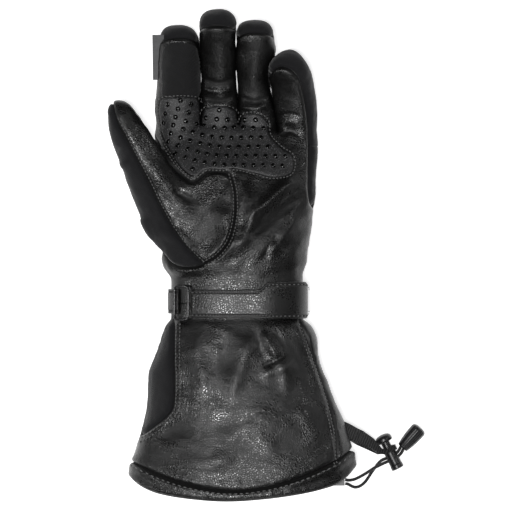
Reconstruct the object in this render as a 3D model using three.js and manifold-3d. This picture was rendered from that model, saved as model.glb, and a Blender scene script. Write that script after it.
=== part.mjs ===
// A gauntlet glove for the left hand, lying on its back with the palm up.
// X runs across the palm towards the little finger, Y from cuff to fingertips, Z up.
// The hollow shell is lofted through superellipse sections and cut into its sewn pieces.

import * as THREE from 'three';
import { mergeVertices } from 'three/addons/utils/BufferGeometryUtils.js';
import Module from 'manifold-3d';

const wasm = await Module();
wasm.setup();

// Clearances and walls
const GAP = 0.3;
const HAND_WALL = 4;
const CUFF_WALL = 3;

// Hand and cuff
const CUFF_LENGTH = 139;
const HAND_LENGTH = 120;
const FINGER_REACH = 90.5;
const WRIST_WIDTH = 94;
const HEM_WIDTH = 160;
const PALM_WIDTH = 114;
const WRIST_DEPTH = 46;
const HEM_DEPTH = 60;
const PALM_DEPTH = 50;
const FINGER_DEPTH = 27;
const THUMB_LENGTH = 119;
const THUMB_WIDTH = 31.4;
const THUMB_DEPTH = 34;

// Trim on the hand and cuff
const BINDING_PROUD = 0.8;
const PATCH_THICKNESS = 1;
const LABEL_THICKNESS = 1;

// Wrist strap with its ring and ring tab
const STRAP_WIDTH = 20;
const STRAP_THICKNESS = 2;
const STRAP_FOLD_GAP = 0.5;
const TAB_WIDTH = 23;
const RING_WIRE = 1.8;
const RING_LENGTH = 25.6;
const RING_TAB_WIDTH = 17.5;
const RING_TAB_THICKNESS = 1;

// Drawcord, lock, cord end and tether
const CORD_DIAMETER = 2.2;
const CORD_SPACING = 2.5;
const LOCK_LENGTH = 27;
const LOCK_DIAMETER = 8.6;
const LOCK_TRAVEL = 3.5;
const BUTTON_DIAMETER = 12;
const BUTTON_HEIGHT = 6;
const BELL_LENGTH = 19.5;
const BELL_DIAMETER = 11.4;
const TETHER_WIDTH = 9.2;
const TETHER_THICKNESS = 1.1;

// Colours and finishes
const LEATHER = { color: 0x1b1b1d, roughness: 0.5, metalness: 0 };
const SOFTSHELL = { color: 0x37383b, roughness: 0.85, metalness: 0 };
const GRIP = { color: 0x141415, roughness: 0.8, metalness: 0 };
const LABEL = { color: 0x8c8f92, roughness: 0.7, metalness: 0 };
const PLASTIC = { color: 0x17171a, roughness: 0.35, metalness: 0 };
const WEBBING = { color: 0x161617, roughness: 0.8, metalness: 0 };
const CORD = { color: 0x121213, roughness: 0.75, metalness: 0 };

// Sections of the cuff: down is a share of CUFF_LENGTH; left and right go from the wrist's
// half width at 0 to the hem's at 1; top is a share from the wrist's depth to the hem's;
// low is a share of HEM_DEPTH that the section would reach below the floor, where it is flat.
const CUFF_ROWS = [
  { down: 0.000, left: 0.02, right: -0.02, top: 0.00, low: -0.05 },
  { down: 0.108, left: 0.13, right: 0.14, top: 0.16, low: -0.03 },
  { down: 0.190, left: 0.22, right: 0.26, top: 0.30, low: -0.01 },
  { down: 0.272, left: 0.34, right: 0.31, top: 0.40, low: 0.02 },
  { down: 0.354, left: 0.48, right: 0.39, top: 0.52, low: 0.05 },
  { down: 0.477, left: 0.50, right: 0.58, top: 0.66, low: 0.08 },
  { down: 0.600, left: 0.58, right: 0.84, top: 0.80, low: 0.11 },
  { down: 0.682, left: 0.67, right: 0.93, top: 0.88, low: 0.13 },
  { down: 0.831, left: 0.87, right: 1.08, top: 0.96, low: 0.15 },
  { down: 1.060, left: 0.97, right: 1.13, top: 1.00, low: 0.16 },
];

// Sections of the hand: up is a share of HAND_LENGTH; left and right go from the wrist's half
// width at 0 to the palm's at 1; top and low are shares of PALM_DEPTH.
const HAND_ROWS = [
  { up: 0.000, left: 0.08, right: -0.07, top: 0.98, low: -0.05 },
  { up: 0.113, left: 0.24, right: -0.15, top: 0.99, low: -0.04 },
  { up: 0.208, left: 0.56, right: 0.06, top: 1.00, low: -0.01 },
  { up: 0.303, left: 0.72, right: 0.18, top: 1.01, low: 0.02 },
  { up: 0.398, left: 0.86, right: 0.38, top: 1.01, low: 0.04 },
  { up: 0.540, left: 1.00, right: 0.55, top: 0.98, low: 0.06 },
  { up: 0.683, left: 1.08, right: 0.80, top: 0.92, low: 0.06 },
  { up: 0.826, left: 1.15, right: 0.79, top: 0.80, low: 0.05 },
  { up: 0.968, left: 1.15, right: 0.75, top: 0.64, low: 0.04 },
  { up: 1.060, left: 1.12, right: 0.70, top: 0.56, low: 0.02 },
];

// Folds of the leather on the palm side. Places are shares of PALM_WIDTH across and HAND_LENGTH
// up from the wrist; width and height are shares of PALM_WIDTH and PALM_DEPTH.
const FOLD_ROWS = [
  { from: [0.42, 0.76], to: [0.02, 0.54], width: 0.075, height: 0.07 },
  { from: [0.43, 0.64], to: [0.12, 0.50], width: 0.05, height: -0.05 },
  { from: [0.30, 0.40], to: [-0.02, 0.22], width: 0.08, height: 0.04 },
  { from: [0.10, -0.25], to: [0.24, -0.36], width: 0.06, height: -0.06 },
  { from: [-0.34, -0.16], to: [-0.26, -0.52], width: 0.07, height: 0.05 },
  { from: [0.30, -0.30], to: [0.46, -0.86], width: 0.06, height: -0.05 },
  { from: [-0.10, 0.92], to: [0.16, 0.90], width: 0.09, height: 0.06 },
  { from: [-0.30, 0.34], to: [-0.12, 0.62], width: 0.07, height: -0.04 },
];

// Finger boundaries as shares of PALM_WIDTH, at up as a share of FINGER_REACH past the roots
const COLUMN_ROWS = [
  { up: -0.118, lines: [-0.513, -0.238, 0.0035, 0.244, 0.485] },
  { up: 0.079, lines: [-0.511, -0.233, 0.002, 0.244, 0.493] },
  { up: 0.276, lines: [-0.508, -0.232, 0.000, 0.219, 0.489] },
  { up: 0.394, lines: [-0.505, -0.232, -0.006, 0.200, 0.474] },
  { up: 0.496, lines: [-0.502, -0.232, -0.011, 0.190, 0.452] },
  { up: 0.590, lines: [-0.499, -0.233, -0.0125, 0.219, 0.419] },
  { up: 0.669, lines: [-0.497, -0.238, -0.0125, 0.238, 0.400] },
  { up: 0.787, lines: [-0.488, -0.243, -0.0130, 0.222, 0.385] },
];

// Fingers: reach is the tip as a share of FINGER_REACH, curl in degrees at the tip, seam is how
// far towards the palm side the front panel starts, as a share of half the finger's depth
const FINGERS = [
  { name: 'index', reach: 0.860, curl: 42, seam: 0.56 },
  { name: 'middle', reach: 0.975, curl: 50, seam: 0.54 },
  { name: 'ring', reach: 0.893, curl: 44, seam: 0.52 },
  { name: 'little', reach: 0.662, curl: 56, seam: 0.52 },
];

// Width and depth of a finger along its length, from inside the palm to the domed tip
const FINGER_GIRTH = [
  { share: 0.00, wide: 0.60, deep: 0.60 },
  { share: 0.14, wide: 1.00, deep: 1.00 },
  { share: 0.34, wide: 1.00, deep: 1.00 },
  { share: 0.50, wide: 1.00, deep: 1.00 },
  { share: 0.67, wide: 1.00, deep: 1.00 },
  { share: 0.82, wide: 0.99, deep: 0.97 },
  { share: 0.92, wide: 0.94, deep: 0.83 },
  { share: 0.975, wide: 0.77, deep: 0.57 },
  { share: 1.00, wide: 0.46, deep: 0.24 },
];

// Sections of the thumb from tip to root: along is a share of THUMB_LENGTH, outer and inner are
// shares of THUMB_WIDTH to each side of the axis, rise and deep shares of THUMB_DEPTH
const THUMB_ROWS = [
  { along: 0.000, outer: 0.06, inner: 0.06, rise: 1.20, deep: 0.06 },
  { along: 0.022, outer: 0.13, inner: 0.19, rise: 1.19, deep: 0.15 },
  { along: 0.068, outer: 0.235, inner: 0.275, rise: 1.17, deep: 0.24 },
  { along: 0.132, outer: 0.355, inner: 0.320, rise: 1.14, deep: 0.31 },
  { along: 0.230, outer: 0.484, inner: 0.375, rise: 1.10, deep: 0.36 },
  { along: 0.329, outer: 0.555, inner: 0.427, rise: 1.05, deep: 0.40 },
  { along: 0.431, outer: 0.623, inner: 0.432, rise: 0.99, deep: 0.43 },
  { along: 0.533, outer: 0.693, inner: 0.455, rise: 0.92, deep: 0.47 },
  { along: 0.635, outer: 0.761, inner: 0.545, rise: 0.85, deep: 0.50 },
  { along: 0.731, outer: 0.832, inner: 0.636, rise: 0.79, deep: 0.53 },
  { along: 0.850, outer: 0.805, inner: 0.636, rise: 0.76, deep: 0.54 },
  { along: 0.934, outer: 0.700, inner: 0.600, rise: 0.75, deep: 0.52 },
];
const THUMB_TIP = [-0.781, 1.188];
const THUMB_LEAN = 30.9;

// Seams, as shares of PALM_WIDTH across and HAND_LENGTH up from the wrist
const THUMB_SEAM = [
  [-0.80, 1.30], [-0.757, 1.09], [-0.664, 0.915], [-0.563, 0.731], [-0.467, 0.546],
  [-0.346, 0.362], [-0.215, 0.232],
];
const BASE_SEAM = [[-0.215, 0.232], [-0.303, 0.214], [-0.407, 0.232], [-0.469, 0.291], [-0.62, 0.45]];
const ARC_SEAM = [[-0.127, 0.282], [-0.055, 0.371], [-0.019, 0.499], [-0.017, 0.648], [-0.046, 0.765]];
const WEB_SEAM = [[-0.22, 0.765], [-0.283, 0.716], [-0.345, 0.755], [-0.417, 0.826], [-0.48, 0.92]];

// Outlines of the raised patches, in the same shares
const GRIP_OUTLINE = [
  [-0.45, 0.955], [-0.478, 1.03], [-0.478, 1.195], [-0.45, 1.218], [-0.275, 1.218], [-0.25, 1.188],
  [-0.243, 1.05], [-0.222, 1.05], [-0.205, 1.147], [-0.15, 1.168], [-0.075, 1.165], [-0.025, 1.135],
  [-0.008, 1.05], [0.012, 1.05], [0.035, 1.10], [0.056, 1.123], [0.125, 1.123], [0.175, 1.081],
  [0.195, 0.992], [0.269, 0.913], [0.331, 0.873], [0.344, 0.814], [0.319, 0.761], [0.213, 0.743],
  [0.106, 0.766], [-0.013, 0.79], [-0.10, 0.785], [-0.20, 0.785], [-0.262, 0.745], [-0.325, 0.775],
  [-0.385, 0.84],
];
const TOUCH_OUTLINE = [
  [-0.472, 1.23], [-0.472, 1.48], [-0.44, 1.53], [-0.356, 1.55], [-0.275, 1.53], [-0.247, 1.48],
  [-0.247, 1.23],
];
const LABEL_OUTLINE = [[-0.532, 1.325], [-0.46, 1.325], [-0.46, 1.585], [-0.532, 1.585]];
const LABEL_SEAM = 0.35;

// Seams of the cuff, as shares of HEM_WIDTH across and CUFF_LENGTH down from the wrist
const SIDE_SEAM = [[-0.280, -0.1], [-0.284, 0.077], [-0.286, 0.241], [-0.288, 0.523],
  [-0.318, 0.575], [-0.362, 0.616], [-0.422, 0.667], [-0.60, 0.76], [-1.5, 0.93]];
const GUSSET_SEAM = [[0.245, -0.1], [0.268, 0.098], [0.306, 0.205], [0.348, 0.344],
  [0.399, 0.533], [0.434, 0.667], [0.452, 0.739], [0.456, 1.2]];

// Hem: edge is the cuff's lower edge and seam the binding's upper one, across and down
const HEM_ROWS = [
  { across: -0.600, edge: 0.740, seam: 0.705 },
  { across: -0.520, edge: 0.836, seam: 0.785 },
  { across: -0.472, edge: 0.900, seam: 0.814 },
  { across: -0.423, edge: 0.938, seam: 0.838 },
  { across: -0.348, edge: 0.969, seam: 0.877 },
  { across: -0.214, edge: 0.993, seam: 0.924 },
  { across: -0.049, edge: 1.005, seam: 0.952 },
  { across: 0.120, edge: 0.993, seam: 0.936 },
  { across: 0.276, edge: 0.969, seam: 0.887 },
  { across: 0.388, edge: 0.941, seam: 0.833 },
  { across: 0.452, edge: 0.915, seam: 0.794 },
  { across: 0.500, edge: 0.872, seam: 0.757 },
  { across: 0.553, edge: 0.790, seam: 0.715 },
  { across: 0.640, edge: 0.680, seam: 0.630 },
];

// Height of the seam between palm side and back, as shares of PALM_DEPTH
const SIDE_SEAM_RISE = [
  { up: -1.2, rise: 0.54 }, { up: -0.5, rise: 0.50 }, { up: 0, rise: 0.48 }, { up: 0.5, rise: 0.46 },
  { up: 0.94, rise: 0.42 }, { up: 1.3, rise: 0.42 },
];

// Wrist strap on the wrist's section: places are shares of WRIST_WIDTH along the section's
// surface from the middle of the palm side; steps is where the strap widens into its end tab
const STRAP = { bar: -0.352, ringBar: -0.462, under: 0.22, stepStart: 0.275, stepEnd: 0.36, end: 0.567,
  tabSeam: -0.565 };
const STRAP_MIDDLE = -0.4;
const TAB_RISE = 15.3;
const RING_MIDDLE = 0.3;
const RING_TAB_MIDDLE = 1.3;

const ROUNDNESS = 2.4;
const FINGER_ROUNDNESS = 2.2;
const FAR = 400;
const FINGER_SPLIT = 0.933;

// Fineness of the lofts
const BODY_SIDES = 28;
const BODY_STEP = 12;
const HOLLOW_SIDES = 16;
const HOLLOW_STEP = 26;
const FINGER_SIDES = 12;
const THUMB_SIDES = 12;
const HOLLOW_FINGER_SIDES = 8;

// Interpolation in a table: Catmull-Rom through the column's values
function lookUp(rows, place, column, at) {
  let i = rows.findIndex((row) => row[place] > at) - 1;
  if (i === -2) i = rows.length - 2;
  if (i < 0) i = 0;
  const a = rows[i];
  const b = rows[i + 1];
  const before = rows[Math.max(i - 1, 0)];
  const after = rows[Math.min(i + 2, rows.length - 1)];
  const span = b[place] - a[place];
  const t = THREE.MathUtils.clamp((at - a[place]) / span, 0, 1);
  const slopeA = (b[column] - before[column]) / (b[place] - before[place]) * span;
  const slopeB = (after[column] - a[column]) / (after[place] - a[place]) * span;
  const t2 = t * t;
  const t3 = t2 * t;
  return (2 * t3 - 3 * t2 + 1) * a[column] + (t3 - 2 * t2 + t) * slopeA
    + (3 * t2 - 2 * t3) * b[column] + (t3 - t2) * slopeB;
}

// Closed solid from points and triangles, turned so that its faces point out
function closedSolid(points, triangles) {
  let volume = 0;
  for (const [a, b, c] of triangles) {
    const [p, q, r] = [points[a], points[b], points[c]];
    volume += p[0] * (q[1] * r[2] - q[2] * r[1]) - p[1] * (q[0] * r[2] - q[2] * r[0])
      + p[2] * (q[0] * r[1] - q[1] * r[0]);
  }
  const faces = volume < 0 ? triangles.map(([a, b, c]) => [a, c, b]) : triangles;
  return new wasm.Manifold(new wasm.Mesh({
    numProp: 3,
    vertProperties: new Float32Array(points.flat()),
    triVerts: new Uint32Array(faces.flat()),
  }));
}

// Loft through rings with the same number of points, capped at both ends or closed in a loop
function loft(rings, looped = false) {
  const count = rings[0].length;
  const points = rings.flat();
  const triangles = [];
  const last = looped ? rings.length : rings.length - 1;
  for (let i = 0; i < last; i += 1) {
    for (let j = 0; j < count; j += 1) {
      const a = i * count + j;
      const b = i * count + (j + 1) % count;
      const c = ((i + 1) % rings.length) * count + j;
      const d = ((i + 1) % rings.length) * count + (j + 1) % count;
      triangles.push([a, b, d], [a, d, c]);
    }
  }
  if (!looped) {
    for (const [first, turn] of [[0, false], [(rings.length - 1) * count, true]]) {
      const ring = points.slice(first, first + count);
      const middle = [0, 1, 2].map((k) => ring.reduce((sum, p) => sum + p[k], 0) / count);
      points.push(middle);
      for (let j = 0; j < count; j += 1) {
        const a = first + j;
        const b = first + (j + 1) % count;
        triangles.push(turn ? [points.length - 1, a, b] : [points.length - 1, b, a]);
      }
    }
  }
  return closedSolid(points, triangles);
}

// Solid from a three.js geometry, with its shared corners merged
function solidOf(geometry) {
  geometry.deleteAttribute('normal');
  geometry.deleteAttribute('uv');
  const merged = mergeVertices(geometry, 1e-4);
  return new wasm.Manifold(new wasm.Mesh({
    numProp: 3,
    vertProperties: merged.attributes.position.array,
    triVerts: new Uint32Array(merged.index.array),
  }));
}

// Upright prism on an outline in X and Y
function prism(outline, low = -FAR, high = FAR) {
  const shape = new THREE.Shape(outline.map(([x, y]) => new THREE.Vector2(x, y)));
  const geometry = new THREE.ExtrudeGeometry(shape, { depth: high - low, bevelEnabled: false });
  return solidOf(geometry.translate(0, 0, low));
}

// Prism along X on an outline in Y and Z
function sidePrism(outline) {
  const shape = new THREE.Shape(outline.map(([y, z]) => new THREE.Vector2(y, z)));
  const geometry = new THREE.ExtrudeGeometry(shape, { depth: 2 * FAR, bevelEnabled: false });
  const [x, y, z] = [new THREE.Vector3(1, 0, 0), new THREE.Vector3(0, 1, 0), new THREE.Vector3(0, 0, 1)];
  geometry.translate(0, 0, -FAR).applyMatrix4(new THREE.Matrix4().makeBasis(y, z, x));
  return solidOf(geometry);
}

// Prism along Y on an outline in X and Z
function crossPrism(outline, low, high) {
  const shape = new THREE.Shape(outline.map(([x, z]) => new THREE.Vector2(x, z)));
  const geometry = new THREE.ExtrudeGeometry(shape, { depth: high - low, bevelEnabled: false });
  geometry.rotateX(Math.PI / 2).translate(0, high, 0);
  return solidOf(geometry);
}

// A line or closed outline moved sideways: left of its direction where the distance is positive
function moved(line, distance, closed = false) {
  return line.map((point, i) => {
    const n = line.length;
    const before = closed ? line[(i + n - 1) % n] : line[Math.max(i - 1, 0)];
    const after = closed ? line[(i + 1) % n] : line[Math.min(i + 1, n - 1)];
    const into = new THREE.Vector2(point[0] - before[0], point[1] - before[1]).normalize();
    const out = new THREE.Vector2(after[0] - point[0], after[1] - point[1]).normalize();
    const along = into.clone().add(out).normalize();
    const stretch = Math.max(Math.abs(along.dot(out.lengthSq() > 0 ? out : into)), 0.5);
    return [point[0] - along.y * distance / stretch, point[1] + along.x * distance / stretch];
  });
}

// Outline grown outwards by a distance, whichever way round it runs
function grown(outline, distance) {
  const turn = THREE.ShapeUtils.area(outline.map(([x, y]) => new THREE.Vector2(x, y)));
  return moved(outline, turn > 0 ? -distance : distance, true);
}

const onHand = (line) => line.map(([across, up]) => [across * PALM_WIDTH, up * HAND_LENGTH]);
const onCuff = (line) => line.map(([across, down]) => [across * HEM_WIDTH, -down * CUFF_LENGTH]);

// Height that the folds add on the palm side at a place
function foldHeight(x, y) {
  let height = 0;
  for (const fold of FOLD_ROWS) {
    const [a, b] = onHand([fold.from, fold.to]);
    const along = [b[0] - a[0], b[1] - a[1]];
    const length = Math.hypot(...along);
    const share = ((x - a[0]) * along[0] + (y - a[1]) * along[1]) / length ** 2;
    const near = THREE.MathUtils.clamp(share, 0, 1);
    const away = Math.hypot(x - a[0] - near * along[0], y - a[1] - near * along[1]);
    const ramp = Math.sin(Math.PI * (0.15 + 0.7 * near));
    height += fold.height * PALM_DEPTH * ramp * Math.exp(-((away / (fold.width * PALM_WIDTH)) ** 2) * 2);
  }
  return height;
}

// The strap lies on a stretch of constant section; beyond it the tables take over smoothly
const BAND_LOW = STRAP_WIDTH / 2 - STRAP_MIDDLE + 1.2;
const BAND_HIGH = TAB_RISE + 1.2;
const beyond = (distance, zone) => (distance <= zone ? 0 : distance - zone * Math.exp(3 * (zone - distance) / zone));

// Section of the cuff or hand at a height up the glove
function bodySection(y) {
  const wristHalf = WRIST_WIDTH / 2;
  const wristTop = WRIST_DEPTH + 0.05 * HEM_DEPTH;
  if (y < 0) {
    const down = beyond(-y, BAND_LOW) / CUFF_LENGTH;
    const read = (column) => lookUp(CUFF_ROWS, 'down', column, down);
    return {
      left: wristHalf + (HEM_WIDTH / 2 - wristHalf) * read('left'),
      right: wristHalf + (HEM_WIDTH / 2 - wristHalf) * read('right'),
      top: wristTop + (HEM_DEPTH - wristTop) * read('top'),
      low: -HEM_DEPTH * read('low'),
    };
  }
  const up = beyond(y, BAND_HIGH) / HAND_LENGTH;
  const read = (column) => lookUp(HAND_ROWS, 'up', column, up);
  const blend = THREE.MathUtils.smoothstep(up, 0, 0.2);
  const spread = PALM_WIDTH / 2 - wristHalf;
  return {
    left: wristHalf + (1 - blend) * (HEM_WIDTH / 2 - wristHalf) * CUFF_ROWS[0].left
      + blend * spread * read('left'),
    right: wristHalf + (1 - blend) * (HEM_WIDTH / 2 - wristHalf) * CUFF_ROWS[0].right
      + blend * spread * read('right'),
    top: (1 - blend) * wristTop + blend * PALM_DEPTH * read('top'),
    low: (1 - blend) * -HEM_DEPTH * CUFF_ROWS[0].low + blend * -PALM_DEPTH * read('low'),
  };
}

// Points of a section, grown outwards, flat where it would pass the floor
function bodyRing(y, grow, count, shrink = 1) {
  const section = bodySection(y);
  const middle = (section.right - section.left) / 2;
  const halfWidth = ((section.right + section.left) / 2 + grow) * (0.6 + 0.4 * shrink);
  const centre = (section.top + section.low) / 2;
  const halfDepth = ((section.top - section.low) / 2 + grow) * shrink;
  const floor = grow < 0 ? -grow : 0;
  const folded = grow < 0 ? 0 : shrink * beyondStrap(y);
  return Array.from({ length: count }, (_, j) => {
    const angle = (2 * Math.PI * j) / count;
    const power = 2 / ROUNDNESS;
    const c = Math.sign(Math.cos(angle)) * Math.abs(Math.cos(angle)) ** power;
    const s = Math.sign(Math.sin(angle)) * Math.abs(Math.sin(angle)) ** power;
    const x = middle + halfWidth * c;
    const lift = folded > 0 && s > 0 ? folded * s * s * foldHeight(x, y) : 0;
    return [x, y, Math.max(centre + halfDepth * s + lift, floor)];
  });
}

// Share of the folds that shows at a height, none under the strap
function beyondStrap(y) {
  const past = y > 0 ? y - BAND_HIGH : -y - BAND_LOW;
  return THREE.MathUtils.smoothstep(past, 0, 14);
}

// The cuff and hand as one closed form, grown outwards, or shrunk for the hollow inside
function bodyForm(grow, count, step) {
  const rings = [];
  const share = (y) => THREE.MathUtils.smoothstep(y, -20, 20);
  const wall = (y) => (grow < 0 ? -THREE.MathUtils.lerp(CUFF_WALL, HAND_WALL, share(y)) : grow);
  const top = HAND_LENGTH;
  for (const [from, to] of [[-1.05 * CUFF_LENGTH, -BAND_LOW], [-BAND_LOW, BAND_HIGH], [BAND_HIGH, top]]) {
    const steps = to === BAND_HIGH ? 1 : Math.round((to - from) / step);
    for (let i = 0; i < steps; i += 1) {
      const y = from + (to - from) * i / steps;
      rings.push(bodyRing(y, wall(y), count));
    }
  }
  rings.push(bodyRing(top, wall(top), count));
  for (const [past, shrink] of [[0.028, 0.86], [0.047, 0.62], [0.058, 0.3]]) {
    rings.push(bodyRing(HAND_LENGTH * (1 + past) + wall(top), wall(top), count, shrink));
  }
  return loft(rings);
}

const columnAt = (line, y) => {
  const up = (y - HAND_LENGTH) / FINGER_REACH;
  const rows = COLUMN_ROWS.map((row) => ({ up: row.up, line: row.lines[line] }));
  return lookUp(rows, 'up', 'line', THREE.MathUtils.clamp(up, rows[0].up, rows.at(-1).up)) * PALM_WIDTH;
};

// Bend of a finger: the centre line turns up by an angle that grows towards the tip
const FINGER_START = HAND_LENGTH - 20;
const BEND_STEPS = 40;
function fingerLine(finger) {
  const curl = THREE.MathUtils.degToRad(finger.curl);
  const turn = (share) => curl * Math.max(share - 0.15, 0) ** 1.2 / 0.85 ** 1.2;
  const runs = [{ y: 0, z: 0 }];
  for (let i = 1; i <= BEND_STEPS; i += 1) {
    const angle = turn((i - 0.5) / BEND_STEPS);
    const before = runs[i - 1];
    runs.push({ y: before.y + Math.cos(angle) / BEND_STEPS, z: before.z + Math.sin(angle) / BEND_STEPS });
  }
  const target = HAND_LENGTH + finger.reach * FINGER_REACH - FINGER_START;
  const lengths = runs.slice(BEND_STEPS / 2).map((run, i) => {
    const share = (i + BEND_STEPS / 2) / BEND_STEPS;
    const deep = lookUp(FINGER_GIRTH, 'share', 'deep', share);
    return (target - deep * FINGER_DEPTH / 2 * Math.sin(turn(share))) / run.y;
  });
  return { turn, runs, length: Math.min(...lengths) };
}

// Place, direction and girth on a finger's centre line
function fingerPlace(line, share, grow) {
  const at = share * (line.length + grow) / line.length * BEND_STEPS;
  const i = Math.min(Math.floor(at), BEND_STEPS - 1);
  const [a, b] = [line.runs[i], line.runs[i + 1]];
  return {
    y: FINGER_START + line.length * (a.y + (b.y - a.y) * (at - i)),
    z: FINGER_DEPTH / 2 + 0.5 + line.length * (a.z + (b.z - a.z) * (at - i)),
    angle: line.turn(share),
    wide: lookUp(FINGER_GIRTH, 'share', 'wide', share),
    deep: lookUp(FINGER_GIRTH, 'share', 'deep', share),
  };
}

function fingerForm(index, grow, count, shares) {
  const line = fingerLine(FINGERS[index]);
  const rings = shares.map((share) => {
    const place = fingerPlace(line, share, grow);
    const halfDepth = (FINGER_DEPTH / 2 + grow) * place.deep;
    const power = 2 / FINGER_ROUNDNESS;
    return Array.from({ length: count }, (_, j) => {
      const angle = (2 * Math.PI * j) / count;
      const c = Math.sign(Math.cos(angle)) * Math.abs(Math.cos(angle)) ** power;
      const s = Math.sign(Math.sin(angle)) * Math.abs(Math.sin(angle)) ** power;
      const y = place.y - halfDepth * s * Math.sin(place.angle);
      const left = columnAt(index, y) + GAP / 2;
      const right = columnAt(index + 1, y) - GAP / 2;
      const x = (left + right) / 2 + ((right - left) / 2 + grow) * place.wide * c;
      return [x, y, place.z + halfDepth * s * Math.cos(place.angle)];
    });
  });
  return loft(rings);
}

// The thumb lies beside the palm, its axis leaning out from the wrist
function thumbForm(grow, count) {
  const lean = THREE.MathUtils.degToRad(THUMB_LEAN);
  const [tipX, tipY] = [THUMB_TIP[0] * PALM_WIDTH, THUMB_TIP[1] * HAND_LENGTH];
  const down = [Math.sin(lean), -Math.cos(lean)];
  const rows = THUMB_ROWS.filter((row) => grow >= 0 || row.outer * THUMB_WIDTH > -grow * 1.6);
  const rings = rows.map((row, i) => {
    const distance = row.along * THUMB_LENGTH - (i === 0 ? grow * 0.5 : 0);
    const outer = Math.max(row.outer * THUMB_WIDTH + grow, 1);
    const inner = Math.max(row.inner * THUMB_WIDTH + grow, 1);
    const halfDepth = Math.max(row.deep * THUMB_DEPTH + grow, 1);
    const middle = (inner - outer) / 2;
    const half = (inner + outer) / 2;
    const power = 2 / FINGER_ROUNDNESS;
    return Array.from({ length: count }, (_, j) => {
      const angle = (2 * Math.PI * j) / count;
      const c = Math.sign(Math.cos(angle)) * Math.abs(Math.cos(angle)) ** power;
      const s = Math.sign(Math.sin(angle)) * Math.abs(Math.sin(angle)) ** power;
      const side = middle + half * c;
      return [
        tipX + down[0] * distance + Math.cos(lean) * side,
        tipY + down[1] * distance + Math.sin(lean) * side,
        row.rise * THUMB_DEPTH + halfDepth * s,
      ];
    });
  });
  return loft(rings);
}

// The whole outer form, and the hollow that the hand goes into
const FINGER_SHARES = FINGER_GIRTH.map((row) => row.share);
const HOLLOW_SHARES = [0, 0.14, 0.45, 0.7, 0.9, 1];
function palmForm(grow) {
  return FINGERS.reduce(
    (form, _, i) => form.add(fingerForm(i, grow, FINGER_SIDES, FINGER_SHARES)),
    bodyForm(grow, BODY_SIDES, BODY_STEP),
  );
}
const outside = palmForm(0).add(thumbForm(0, THUMB_SIDES));
const hollow = FINGERS.reduce(
  (form, _, i) => form.add(fingerForm(i, -HAND_WALL, HOLLOW_FINGER_SIDES, HOLLOW_SHARES)),
  bodyForm(-1, HOLLOW_SIDES, HOLLOW_STEP).add(thumbForm(-HAND_WALL, HOLLOW_FINGER_SIDES)),
);
const shell = outside.subtract(hollow);

// Regions that cut the shell into its pieces
const seamRise = (distance) => SIDE_SEAM_RISE.map((row) => [row.up * HAND_LENGTH, row.rise * PALM_DEPTH + distance]);
const above = (line) => sidePrism([...line, [line.at(-1)[0], FAR], [line[0][0], FAR]]);
const below = (line) => sidePrism([...line, [line.at(-1)[0], -FAR], [line[0][0], -FAR]]);
const between = (low, high) => prism([[-FAR, low], [FAR, low], [FAR, high], [-FAR, high]]);
const palmSide = above(seamRise(GAP / 2));
const backSide = below(seamRise(-GAP / 2));
const splitY = FINGER_SPLIT * HAND_LENGTH;
const handBand = between(GAP / 2, splitY - GAP / 2);

const thumbBackOutline = onHand([...THUMB_SEAM, ...BASE_SEAM.slice(1), [-1.6, 0.5], [-1.6, 1.3]]);
const thumbFrontOutline = [
  ...moved(onHand([...THUMB_SEAM].reverse()), -GAP).reverse(),
  ...onHand([...ARC_SEAM, ...WEB_SEAM, [-0.44, 0.96], [-0.44, 1.3]]),
];
const thumbBack = prism(thumbBackOutline);
const thumbFront = prism(thumbFrontOutline);
const besideThumbBack = prism(grown(thumbBackOutline, GAP));
const besideThumbFront = prism(grown(thumbFrontOutline, GAP));
const thumbTip = thumbForm(0, THUMB_SIDES).intersect(between(splitY, FAR));
const thumbClear = thumbForm(GAP, THUMB_SIDES);
const thumbFrontPiece = shell.intersect(thumbFront).intersect(palmSide.intersect(between(0, splitY)).add(thumbTip));

const hemLine = (column, distance) => moved(
  HEM_ROWS.map((row) => [row.across * HEM_WIDTH, -row[column] * CUFF_LENGTH]),
  distance,
);
const aboveHem = (column, distance) => prism([...hemLine(column, distance), [FAR, FAR], [-FAR, FAR]]);
const cuffBand = between(-FAR, -GAP / 2).intersect(aboveHem('seam', GAP / 2));
const sideLine = onCuff(SIDE_SEAM);
const gussetLine = onCuff(GUSSET_SEAM);
const besideSide = (distance) => prism([...moved(sideLine, distance), [-FAR, sideLine[0][1]]]);
const besideGusset = (distance) => prism([
  ...moved(gussetLine, distance), [FAR, gussetLine.at(-1)[1]], [FAR, gussetLine[0][1]],
]);

const cuffPalmSide = shell.intersect(cuffBand).intersect(palmSide);
const bindingForm = bodyForm(BINDING_PROUD, BODY_SIDES, BODY_STEP).subtract(hollow);

// Line along a finger in Y and Z, at a share of half its depth above the centre line
function fingerSeam(index, share, distance) {
  const line = fingerLine(FINGERS[index]);
  const rise = share * FINGER_DEPTH / 2 + distance;
  const points = [[0, FINGER_DEPTH / 2 + 0.5 + rise]];
  for (let i = 1; i <= 10; i += 1) {
    const place = fingerPlace(line, i / 10, 0);
    points.push([place.y - rise * Math.sin(place.angle), place.z + rise * Math.cos(place.angle)]);
  }
  const [y, z] = points.at(-1);
  points.push([y + FINGER_REACH * Math.cos(line.turn(1)), z + FINGER_REACH * Math.sin(line.turn(1))]);
  return points;
}

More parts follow.
